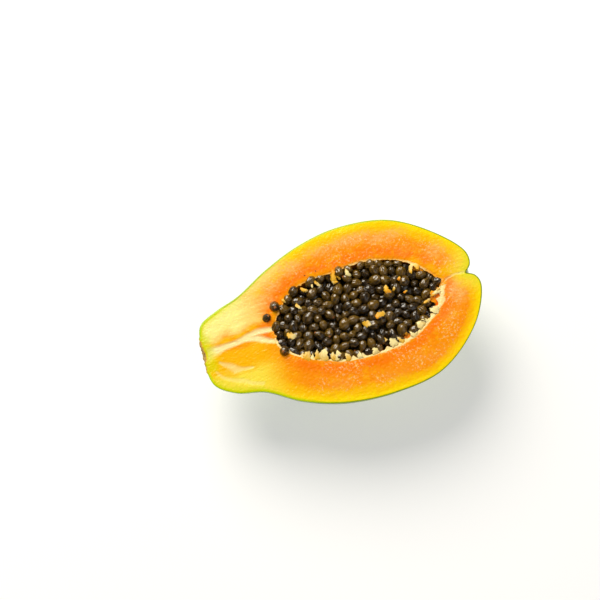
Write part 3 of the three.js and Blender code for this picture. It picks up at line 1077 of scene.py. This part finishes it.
def cut_face_marks(points, rim, core, lining_width):
    """What the flesh material reads at each point of the cut face."""
    flat = points[:, :2]
    x, y = flat[:, 0], flat[:, 1]
    solid = on_face(flat)
    drift = ripple(solid, 9.0, 3.0)
    loose_y = y + 2 * drift
    gold = smooth_step(x, *GOLD_ALONG) * smooth_step(loose_y, *GOLD_ACROSS)
    lemon = smooth_step(x, *LEMON_ALONG) * smooth_step(loose_y, *LEMON_ACROSS)
    end_x, end_y, along, across = BLOSSOM_OVAL
    from_end = np.hypot((x - end_x) / along, (y - end_y) / across)
    blossom = 1 - smooth_step(from_end + 0.15 * drift, *BLOSSOM_EDGE)
    thin_rim = smooth_step(x, *THIN_RIM_ALONG) * smooth_step(x, *THIN_RIM_END)
    thin_rim = thin_rim * smooth_step(y, *THIN_RIM_ACROSS)
    limy_far = np.maximum(smooth_step(x, *LIMY_FAR_ALONG), LIMY_FAINT * smooth_step(x, *LIMY_FAINT_ALONG))
    blank = np.zeros(len(flat))
    return {
        "rim": rim * (1 + THIN_RIM * thin_rim),
        "core": core,
        "strand": strand_mark(flat, drift),
        # Painted sheen on the wet flesh, in pale pinkish patches.
        "pink_sheen": patches(x, y, PINK_SHEEN_PATCHES),
        "speck": speck_mark(flat),
        "neck": neck_mark(x, y, rim, core, drift),
        "gold": np.maximum(ZONE_STRENGTH * gold, patches(x, y, GOLD_PATCHES)),
        "lemon": np.maximum(ZONE_STRENGTH * lemon, BLOSSOM_STRENGTH * blossom),
        # Painted glints on the wet flesh.
        "wet_glint": glint_mark(x, y, rim) * (0.9 + 0.25 * ripple(solid, 7.0, 6.0)),
        "lining": 1 - smooth_step(core, 0.3 * lining_width, 1.35 * lining_width),
        "dry": np.where(y < NEAR_DRY_LINE, 1.0, FAINT_DRY + FAR_DRY * far_lining(x)),
        "limy": np.where(y < 0, smooth_step(x, *LIMY_NEAR_ALONG), limy_far),
        "wall": blank,
        "cork": smooth_step(x, *CORK_ALONG) * smooth_step(np.abs(y - CORK_MIDDLE), *CORK_ACROSS),
        "belly": blank,
        "shoulder": blank,
    }


def face_height(points, rim, core, far_side, ribs, marks, look):
    """Height of the cut face above the knife's plane."""
    solid = on_face(points[:, :2])
    height = look.face_swell / MM * ripple(solid, 22.0) * smooth_step(rim, 0, 5)
    grain = ripple(solid, 1.3) + 0.6 * ripple(solid, 3.2, 9.0)
    height += look.grain_relief / MM * grain * smooth_step(rim, 0.3, 2)
    height -= look.rim_roll / MM * np.clip(1 - rim / RIM_ROLL_WIDTH, 0, 1) ** 2
    roll = np.where(far_side, look.edge_roll / MM, NEAR_ROLL_SHARE * look.edge_roll / MM)
    width = np.where(far_side, EDGE_ROLL_WIDTHS["far"], EDGE_ROLL_WIDTHS["near"])
    height -= roll * np.clip(1 - np.maximum(core, 0) / width, 0, 1) ** 2
    height -= STRAND_DEPTH * marks["strand"]
    torn = ripple(solid, 0.75, 2.0)
    return height + (RIB_HEIGHT * ribs + TORN_HEIGHT * torn) * marks["lining"]


def off_axis(points):
    """0 on the fruit's axis and 1 a little way off it."""
    return smooth_step(np.linalg.norm(points[..., 1:], axis=-1), 0.5, 4.0)


def scar_share(points):
    """1 on the corky stem scar and 0 off it."""
    radius = np.linalg.norm(points[..., 1:], axis=-1) + 0.9 * ripple(points, 3.0)
    return smooth_step(radius, SCAR_RADIUS, SCAR_RADIUS - SCAR_SOFT) * smooth_step(points[..., 0], 9, 5)


def scar_bumps(points):
    """How far the scar's cork stands out at each point of the skin or its rim."""
    return SCAR_BUMPS * scar_share(points) * off_axis(points) * np.abs(ripple(points, 3.4, 4.0))


class CutLines:
    """Rim and cavity edge of the cut face, as loops along the far side and back along the near one."""

    def __init__(self, look, seeds, heights, seed_radius):
        shares = np.linspace(0, 1, FLANK_STEPS)
        both = np.array([0, math.pi])
        rims, edges = round_body(FRUIT, shares, both), round_body(CAVITY, shares, both)
        rims[..., 0] -= scar_bumps(rims)
        flats = dict(zip(SIDES, edges[..., :2]))
        self.teeth = {s: lining_teeth(flats[s], s, seeds, heights, look, seed_radius) for s in SIDES}
        self.headings = {side: inward(flats[side], side) for side in SIDES}
        self.rim, self.edge = loop_of(*rims), loop_of(*edges)
        self.is_far = np.arange(len(self.rim)) < FLANK_STEPS

    def lining_widths(self):
        """Width of the lining at each point of the cavity's edge."""
        x = self.edge[:, 0]
        far, near = (
            LINING_WIDTH[side] + LINING_WIDE * smooth_step(x, *LINING_WIDE_ZONES[side]) for side in SIDES
        )
        far = far + FAR_LINING_WIDE * far_lining(x)
        near = near + LINING_END * smooth_step(x, *LINING_END_ZONE)
        swing = 0.9 + 0.5 * ripple(self.edge, 6.0, 1.0) + 0.35 * ripple(self.edge, 1.5, 2.0)
        return np.where(self.is_far, far, near) * swing

    def distance(self, points, loop):
        """Distance from points of the cut face to one of the loops."""
        return line_distance(points, np.vstack([loop[::LOOP_STRIDE, :2], loop[:1, :2]]))


def cut_face(lines, look):
    """Points of the cut face, in loops from the cavity's edge to the rim, and their marks."""
    around = len(lines.rim)
    across = eased(FACE_STEPS, FACE_EASE)[:, None, None]
    plain = lines.edge * (1 - across) + lines.rim * across
    pull = np.clip(1 - across / TOOTH_ROOT, 0, 1) ** 2
    offset = pull * loop_of(*lines.teeth.values())[:, None]
    face = plain.copy()
    face[..., :2] += offset * loop_of(*lines.headings.values())
    face = face.reshape(-1, 3)
    plain = plain.reshape(-1, 3)[:, :2]
    rim = lines.distance(plain, lines.rim)
    core = lines.distance(plain, lines.edge) - offset.ravel()
    rim[-around:] = 0
    marks = cut_face_marks(face, rim, core, np.tile(lines.lining_widths(), FACE_STEPS))
    ribs = RIB_SWING * ripple(np.outer(run_length(lines.edge), [1, 0, 0]), RIB_PITCH, 8.0)
    is_far, ribs = np.tile(lines.is_far, FACE_STEPS), np.tile(ribs, FACE_STEPS)
    face[:, 2] = face_height(face, rim, core, is_far, ribs, marks, look)
    return face.reshape(FACE_STEPS, around, 3), marks


def sew(sheet, loop):
    """Join a sheet's first and last rows and its two ends to a loop of the cut face."""
    last = FLANK_STEPS - 1
    sheet[0] = loop[:FLANK_STEPS]
    sheet[-1, 1:-1] = loop[:last:-1]
    sheet[-1, [0, -1]] = loop[[0, last]]
    sheet[:, 0], sheet[:, -1] = loop[0], loop[last]


def skin_sheet(loop, names, look):
    """Points of the skin, round from the far rim to the near one, and their marks."""
    turns = math.pi * eased(SKIN_STEPS, SKIN_EASE)
    skin = round_body(FRUIT, np.linspace(0, 1, FLANK_STEPS), turns)
    scar, bumps = scar_share(skin), scar_bumps(skin)
    outward = np.stack([np.zeros_like(turns), np.cos(turns), -np.sin(turns)], axis=1)[:, None]
    below_rim = np.sin(turns)[:, None] ** 0.5
    dents = look.skin_dents / MM * ripple(skin, 26.0) + 0.05 * ripple(skin, 4.0)
    skin = skin + outward * (dents * below_rim * off_axis(skin))[:, :, None]
    skin[:, :, 0] -= bumps
    skin[:, :, 2] = np.maximum(skin[:, :, 2], -CUT_LEVEL)
    sew(skin, loop)
    blossom = np.linalg.norm(skin - loop[FLANK_STEPS - 1], axis=2)
    marks = {name: np.zeros(skin.shape[:2]) for name in names}
    marks["cork"] = np.maximum(scar, smooth_step(blossom, *BLOSSOM_CORK))
    marks["belly"] = np.broadcast_to(np.sin(turns)[:, None], skin.shape[:2])
    along, below = smooth_step(skin[:, :, 0], *SHOULDER_ALONG), smooth_step(-skin[:, :, 2], *SHOULDER_BELOW)
    marks["shoulder"] = along * below
    return skin, marks


def wall_sheet(loop, names, lines):
    """Points of the cavity's wall, down from its far edge and up to the near one, and their marks."""
    turns = math.pi * np.linspace(*WALL_TURNS, WALL_STEPS)
    wall = round_body(CAVITY, np.linspace(0, 1, FLANK_STEPS), turns)
    keep = np.exp(-((wall[:, :, 2] / TOOTH_DEPTH) ** 2))
    sides = ["far" if turn < math.pi / 2 else "near" for turn in turns]
    for row, side in enumerate(sides):
        wall[row, :, :2] += (keep[row] * lines.teeth[side])[:, None] * lines.headings[side]
    wall = np.concatenate([wall[:1], wall, wall[-1:]])
    sew(wall, loop)
    depth = -wall[:, :, 2]
    width = np.array([LINING_WIDTH[side] for side in ("far", *sides, "near")])[:, None]
    marks = {name: np.zeros(wall.shape[:2]) for name in names}
    marks["rim"] += WALL_RIM
    start, end = (share * width for share in WALL_LINING)
    marks["lining"] = 1 - smooth_step(depth, start, end + WALL_LINING_SOFT)
    marks["dry"] += FAINT_DRY
    marks["wall"] = smooth_step(depth, *WALL_PULP) * (1 - marks["lining"])
    return wall, marks


def fruit_surface(look, seeds, heights, seed_radius):
    """Points, faces, face materials (0 skin, 1 flesh) and marks of the fruit half."""
    lines = CutLines(look, seeds, heights, seed_radius)
    face, face_marks = cut_face(lines, look)
    skin, skin_marks = skin_sheet(face[-1], face_marks, look)
    wall, wall_marks = wall_sheet(face[0], face_marks, lines)
    faces, finishes = [], []
    start = 0
    for sheet, finish in ((face, 1), (skin, 0), (wall, 1)):
        rows, columns = sheet.shape[:2]
        faces.append(grid_faces(rows, columns, start, closed=sheet is face))
        finishes.append(np.full(len(faces[-1]), finish))
        start += rows * columns
    points = np.concatenate([sheet.reshape(-1, 3) for sheet in (face, skin, wall)])
    marks = {
        name: np.concatenate([sheet[name].ravel() for sheet in (face_marks, skin_marks, wall_marks)])
        for name in face_marks
    }
    return points, np.concatenate(faces), np.concatenate(finishes), marks


SHARP_ANGLE = 60


class PAPAYA_OT_grow_fruit(bpy.types.Operator):
    """Grow the fruit half: skin, cut flesh, stem scar and the cavity with its torn lining"""

    bl_idname = "papaya.grow_fruit"
    bl_label = "Grow fruit half"

    def execute(self, context):
        look, seed_look = context.scene.papaya_fruit, context.scene.papaya_seeds
        seed_radius = 0.5 * seed_look.seed_width / MM
        points, faces, finishes, marks = fruit_surface(look, *top_seeds(seed_look), seed_radius)
        materials = [skin_material(look), flesh_material(look)]
        fruit = make_piece("papaya_fruit", points, faces, materials, marks, finishes, SHARP_ANGLE)
        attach(fruit, "root")
        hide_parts("fruit_half")
        return {"FINISHED"}


# Seeds: wrinkled eggs over a dark core.
SEED_EGG = 0.13
LEAN_SHARE = 0.8
TOP_DETAIL = 4
BELOW_DETAIL = 3
POINTED_SHARE = 0.14
PLUMPNESS = 0.07
SWELLS = (0.92, 1.1)
POINT_LENGTH = 0.25
POINT_ZONE = (0.9, 1.0)
# How much finer a seed's folds and its fine wrinkles are across it than along it.
FOLD_STRETCH = np.array([0.6, 2.2, 2.2])
FINE_STRETCH = np.array([1.2, 4.5, 4.5])
# Painted shade: heights between which a seed's coat goes from its darkest to its own tint, so that deeper
# seeds are painted darker.
DEPTH_SHADE_HEIGHTS = (-6.5, -2.0)
# How far apart the noise of seeds or of strips is drawn.
NOISE_SPREAD = 10


def ball(detail):
    """Points and triangles of a unit ball."""
    shaped = bmesh.new()
    bmesh.ops.create_icosphere(shaped, subdivisions=detail, radius=1)
    points = np.array([v.co for v in shaped.verts])
    faces = np.array([[v.index for v in f.verts] for f in shaped.faces])
    shaped.free()
    return points, faces


def turned(turn, lean):
    """Rotation of a seed that leans out of the bed and then turns in it."""
    cos_t, sin_t, cos_l, sin_l = math.cos(turn), math.sin(turn), math.cos(lean), math.sin(lean)
    about_z = np.array([[cos_t, -sin_t, 0], [sin_t, cos_t, 0], [0, 0, 1]])
    about_y = np.array([[cos_l, 0, sin_l], [0, 1, 0], [-sin_l, 0, cos_l]])
    return about_z @ about_y


def own_noise(unit, draw):
    """Points of a unit ball, moved to a place of their own in the noise."""
    return unit + NOISE_SPREAD * np.array([draw(), draw(), draw()])


def seed_bodies(seeds, heights, look, detail, draw):
    """Points, triangles and marks of wrinkled seeds."""
    unit, triangles = ball(detail)
    size = np.array([look.seed_length, look.seed_width, look.seed_width]) / MM / 2
    taper = 1 - SEED_EGG * unit[:, :1]
    tip = smooth_step(unit[:, 0], *POINT_ZONE)
    points, faces = [], []
    marks = {"own": [], "tint": [], "point": [], "crease_shade": []}
    for (x, y, swell, turn, lean, _), height in zip(seeds, heights):
        own = own_noise(unit, draw)
        plump = 1 + draw.either_way(PLUMPNESS)
        swell = swell * draw.between(*SWELLS)
        shape = unit * size * swell * np.column_stack([np.ones(len(unit)), plump * taper, taper / plump])
        ridges = np.abs(ripple(own * FOLD_STRETCH, 0.85))
        wrinkle = 0.5 - 1.7 * ridges + 0.2 * ripple(own * FINE_STRETCH, 0.8)
        shape += unit * (look.wrinkle / MM * wrinkle)[:, None]
        shape[:, 0] += POINT_LENGTH * tip
        points.append(shape @ turned(turn, LEAN_SHARE * lean).T + [x, y, height])
        faces.append(triangles + len(unit) * len(faces))
        marks["own"].append(own)
        # Painted light and shade: the wrinkle height, lighter on the ridge tops and darker in the creases.
        marks["crease_shade"].append(wrinkle)
        # Random tint, with painted shade that darkens the deeper seeds.
        marks["tint"].append(np.full(len(unit), draw() * smooth_step(height, *DEPTH_SHADE_HEIGHTS)))
        marks["point"].append(tip * (draw() < POINTED_SHARE or lean <= STRAY_LEAN))
    return np.concatenate(points), np.concatenate(faces), {k: np.concatenate(v) for k, v in marks.items()}


CORE_STEPS = (40, 24)
CORE_ENDS = (0.02, 0.98)
CORE_TOP = -8.0
CORE_SHARE = 0.9
CORE_DEPTH = 0.62
CORE_LUMP = 1.6


def core_body():
    """A loaf of pulp, painted dark as shade, that fills the cavity below the seeds that show."""
    along, around = CORE_STEPS
    under = round_body(CAVITY, np.linspace(*CORE_ENDS, along), np.linspace(0, math.pi, around))
    under[:, :, 1] *= CORE_SHARE
    under[:, :, 2] = CORE_TOP + CORE_DEPTH * under[:, :, 2]
    cover = under[0] + np.linspace(0, 1, around)[:, None, None] * (under[-1] - under[0])
    inside = np.sin(np.linspace(0, math.pi, around))[:, None] * np.sin(np.linspace(0, math.pi, along))
    cover[:, :, 2] += CORE_LUMP * inside * ripple(cover, 5.0)
    start = around * along
    points = np.concatenate([under.reshape(-1, 3), cover.reshape(-1, 3)])
    faces = [list(f) for first in (0, start) for f in grid_faces(around, along, first)]
    for end in (0, along - 1):
        for k in range(around - 1):
            here, after = end + k * along, end + (k + 1) * along
            faces.append([here, after, after + start, here + start])
    return points, faces


class PAPAYA_OT_lay_seeds(bpy.types.Operator):
    """Lay the seeds in the cavity: a top layer, a layer below it and a dark core"""

    bl_idname = "papaya.lay_seeds"
    bl_label = "Lay seeds"

    def execute(self, context):
        look = context.scene.papaya_seeds
        draw = Draws(RANDOM_SEED + 1)
        top, heights = top_seeds(look)
        below = settled_seeds(look.below_count, look.pitch / MM, BELOW_MARGINS, BELOW_SEED)
        coat = seed_material(look)
        layers = [
            ("papaya_seeds_top", top, heights, TOP_DETAIL),
            ("papaya_seeds_below", below, BELOW_LEVEL + BELOW_LIFT * below[:, 5], BELOW_DETAIL),
        ]
        for name, seeds, levels, detail in layers:
            points, faces, marks = seed_bodies(seeds, levels, look, detail, draw)
            layer = make_piece(name, points, faces, [coat], marks)
            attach(layer, "root")
            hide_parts("seed_mass")
        core = make_piece("papaya_seed_core", *core_body(), [core_material(look)])
        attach(core, "root")
        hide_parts("seed_mass")
        return {"FINISHED"}


SCRAP_DETAIL = 4
SCRAP_SEED = 911
SCRAP_THICKNESS = 0.38
SCRAP_BEND = 0.6
SCRAP_TAPER = 0.4
# Looks of the strips: how dry, how much drier towards the end, and how firmly held at the root.
SCRAP_LOOK = (-0.45, 0.5, 0.0)
PULP_LOOK = (-1.2, 0.5, 0.0)
FLAP_LOOK = (-0.25, 0.5, 0.0)
TAG_LOOK = (0.18, 0.3, 1.0)
FLAP_BEND = -0.3
FLAP_TAPER = -0.45
# Torn tags of the lining along the cavity's near edge.
TAG_SEED = 3301
TAG_COUNT = 4
TAG_SHARES = (0.05, 0.97)
TAG_STEPS = (0.1, 0.9)
TAG_LENGTHS = (2.8, 5.6)
TAG_WIDTHS = (1.3, 3.0)
TAG_HEIGHTS = (-0.3, 0.2)
TAG_SWAY = 0.6
TAG_ROOT = 1.1
TAG_BEND = -0.1
TAG_TAPER = 0.6
# Shape of a strip: how boxy it is, how its sides widen, curl, fray, bow and twist, and how its root sinks.
BOXINESS = (0.8, 0.6, 0.8)
WAISTS = (-0.5, 0.4)
WAIST_MIDDLE = 0.4
END_FRAY = 0.22
SIDE_FRAY = 0.28
CURLS = (0.02, 0.12)
CUP = 0.22
BOW = 0.16
TWIST = 0.6
ROOT_SINK = 0.5
# Lean of a strip, and the share of it that a held one loses.
STRIP_LEAN = 0.2
HELD_LEAN = 0.75


def edge_tags():
    """Rows like those of the scraps, for tags that reach from the near edge over the seeds."""
    draw = Draws(TAG_SEED)
    edge = round_body(CAVITY, np.linspace(0, 1, FLANK_STEPS), np.array([math.pi]))[0][:, :2]
    headings, run = inward(edge, "near"), run_length(edge)
    low, high = TAG_SHARES
    rows = []
    for k in range(TAG_COUNT):
        share = low + (high - low) * (k + draw.between(*TAG_STEPS)) / TAG_COUNT
        at = np.searchsorted(run, share * run[-1])
        heading = math.atan2(headings[at, 1], headings[at, 0]) + draw.either_way(TAG_SWAY)
        long, wide = draw.between(*TAG_LENGTHS), draw.between(*TAG_WIDTHS)
        out = long / 2 - TAG_ROOT
        x, y = edge[at] + [out * math.cos(heading), out * math.sin(heading)]
        rows.append((x, y, long, wide, math.degrees(heading), draw.between(*TAG_HEIGHTS)))
    return rows


def torn_strip(unit, own, long, wide, ragged, bend, taper, held, draw):
    """A thin, curled and frayed strip of torn stalk along X, from a unit ball.

    It gets narrower towards its end by its taper.
    A held strip lies flat at its root and comes free towards its end.
    """
    shape = np.sign(unit) * np.abs(unit) ** BOXINESS * [long / 2, wide / 2, SCRAP_THICKNESS]
    along, across = unit[:, 0], unit[:, 1]
    free = 1 - held * (1 - along) / 2
    shape[:, 1] *= 1 + draw.between(*WAISTS) * (along**2 - WAIST_MIDDLE) - taper * along
    shape[:, 0] += END_FRAY * long * np.abs(along) ** 3 * ripple(own * [0, 1, 0], 0.3)
    shape[:, 1] += SIDE_FRAY * wide * np.abs(across) * ripple(own * [1, 0, 0], 0.3)
    shape += unit * (ragged * (ripple(own, 0.8) + 0.5 * ripple(own, 0.3)))[:, None]
    shape[:, 2] -= draw.between(*CURLS) * long * free * (along - bend) ** 2
    shape[:, 2] += draw.either_way(CUP) * wide * free * across**2 - ROOT_SINK * (1 - free) ** 2
    shape[:, 1] += draw.either_way(BOW) * long * along**2
    twist = draw.either_way(TWIST) * free * along
    cos, sin = np.cos(twist), np.sin(twist)
    x, y, z = shape.T
    return np.column_stack([x, cos * y - sin * z, sin * y + cos * z])


class PAPAYA_OT_strew_stalks(bpy.types.Operator):
    """Strew the torn stalks that are caught among the seeds"""

    bl_idname = "papaya.strew_stalks"
    bl_label = "Strew torn stalks"

    def execute(self, context):
        look = context.scene.papaya_stalks
        draw = Draws(SCRAP_SEED)
        unit, triangles = ball(SCRAP_DETAIL)
        points, faces, owns, dry = [], [], [], []
        rows = [
            (row, draw.either_way(SCRAP_BEND), draw.either_way(SCRAP_TAPER), SCRAP_LOOK) for row in SCRAPS
        ]
        rows += [(row, TAG_BEND, TAG_TAPER, TAG_LOOK) for row in [*TABS, *edge_tags()]]
        rows += [(row, 0.0, 0.0, PULP_LOOK) for row in PULP]
        rows += [(row, FLAP_BEND, FLAP_TAPER, FLAP_LOOK) for row in FLAPS]
        for (x, y, long, wide, heading, height), bend, taper, (dryness, drier, held) in rows:
            own = own_noise(unit, draw)
            shape = torn_strip(unit, own, long, wide, look.ragged / MM, bend, taper, held, draw)
            lean = draw.either_way(STRIP_LEAN * (1 - HELD_LEAN * held))
            points.append(shape @ turned(math.radians(heading), lean).T + [x, y, height])
            faces.append(triangles + len(unit) * len(faces))
            owns.append(own)
            dry.append(draw() + dryness + drier * unit[:, 0])
        marks = {"own": np.concatenate(owns), "dry": np.concatenate(dry)}
        points, faces = np.concatenate(points), np.concatenate(faces)
        scraps = make_piece("papaya_torn_stalks", points, faces, [stalk_material(look)], marks)
        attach(scraps, "root")
        return {"FINISHED"}


FLOOR_SIDE = 6.0
SENSOR_WIDTH = 36.0
KEY_SIZE = 1.3
KEY_PLACE = (-0.22, 1.12, 1.12)
FILL_SIZE = 2.0
FILL_PLACE = (0.9, -1.1, 1.15)
# Point of the cut face that the lights aim at, in millimetres.
LIGHT_AIM = (80, 0, 0)


def area_light(name, power, size, place, aim, tint=(1, 1, 1)):
    data = bpy.data.lights.new(name, "AREA")
    data.color = tint
    data.shape = "DISK"
    data.energy = power
    data.size = size
    light = bpy.data.objects.new(name, data)
    light.location = place
    light.rotation_euler = (Vector(place) - Vector(aim)).to_track_quat("Z", "Y").to_euler()
    bpy.context.scene.collection.objects.link(light)


def set_camera(scene, look):
    """A camera that looks at the cut face from the settings' angle and distance."""
    aim = Vector(in_frame([look.aim[0] / MM, look.aim[1] / MM, 0]))
    level = math.cos(look.elevation)
    across, away = math.sin(look.azimuth) * level, -math.cos(look.azimuth) * level
    back = Vector((across, away, math.sin(look.elevation)))
    data = bpy.data.cameras.new("camera")
    data.sensor_width = SENSOR_WIDTH
    data.lens = SENSOR_WIDTH / 2 / look.half_view
    camera = bpy.data.objects.new("camera", data)
    camera.location = aim + look.distance * back
    camera.rotation_euler = back.to_track_quat("Z", "Y").to_euler()
    scene.collection.objects.link(camera)
    scene.camera = camera


def set_lights(scene, look):
    """A key light, a fill light and even light from all round."""
    aim = Vector(in_frame(LIGHT_AIM))
    area_light("key_light", look.key_power, KEY_SIZE, aim + Vector(KEY_PLACE), aim, look.key_colour)
    area_light("fill_light", look.fill_power, FILL_SIZE, aim + Vector(FILL_PLACE), aim)
    world = bpy.data.worlds.new("studio")
    world.use_nodes = True
    sky = world.node_tree.nodes["Background"]
    sky.inputs["Color"].default_value = (1, 1, 1, 1)
    sky.inputs["Strength"].default_value = look.sky_strength
    scene.world = world
    scene.view_settings.view_transform = "Standard"


def make_floor(scene, look):
    """A square of floor round the part's origin."""
    half = FLOOR_SIDE / 2
    mesh = bpy.data.meshes.new("floor")
    corners = [(-half, -half, 0), (half, -half, 0), (half, half, 0), (-half, half, 0)]
    mesh.from_pydata(corners, [], [(0, 1, 2, 3)])
    mesh.materials.append(floor_material(look))
    floor = bpy.data.objects.new("floor", mesh)
    scene.collection.objects.link(floor)
    return floor


class PAPAYA_OT_set_stage(bpy.types.Operator):
    """Set the camera, the lights and the floor"""

    bl_idname = "papaya.set_stage"
    bl_label = "Set stage"

    def execute(self, context):
        scene, look = context.scene, context.scene.papaya_stage
        set_camera(scene, look)
        set_lights(scene, look)
        floor = make_floor(scene, look)
        return {"FINISHED"}


class PAPAYA_PT_sidebar(bpy.types.Panel):
    """Papaya half's settings and steps"""

    bl_idname = "PAPAYA_PT_sidebar"
    bl_label = "Papaya half"
    bl_space_type = "VIEW_3D"
    bl_region_type = "UI"
    bl_category = "Papaya"

    def draw(self, context):
        for operator in OPERATORS:
            self.layout.operator(operator.bl_idname)
        for name in SETTINGS:
            box = self.layout.box()
            group = getattr(context.scene, name)
            for setting in group.bl_rna.properties:
                if setting.identifier not in ("rna_type", "name"):
                    box.prop(group, setting.identifier)


SETTINGS = {
    "papaya_stage": PapayaStageSettings,
    "papaya_fruit": PapayaFruitSettings,
    "papaya_seeds": PapayaSeedSettings,
    "papaya_stalks": PapayaStalkSettings,
}
OPERATORS = (PAPAYA_OT_set_stage, PAPAYA_OT_grow_fruit, PAPAYA_OT_lay_seeds, PAPAYA_OT_strew_stalks)
CLASSES = (*SETTINGS.values(), *OPERATORS, PAPAYA_PT_sidebar)


def register():
    for made in CLASSES:
        bpy.utils.register_class(made)
    for name, kind in SETTINGS.items():
        setattr(bpy.types.Scene, name, PointerProperty(type=kind))


def unregister():
    for name in SETTINGS:
        delattr(bpy.types.Scene, name)
    for made in reversed(CLASSES):
        bpy.utils.unregister_class(made)


def main():
    register()
    bpy.ops.papaya.set_stage()
    bpy.ops.papaya.grow_fruit()
    bpy.ops.papaya.lay_seeds()
    bpy.ops.papaya.strew_stalks()


if __name__ == "__main__":
    main()
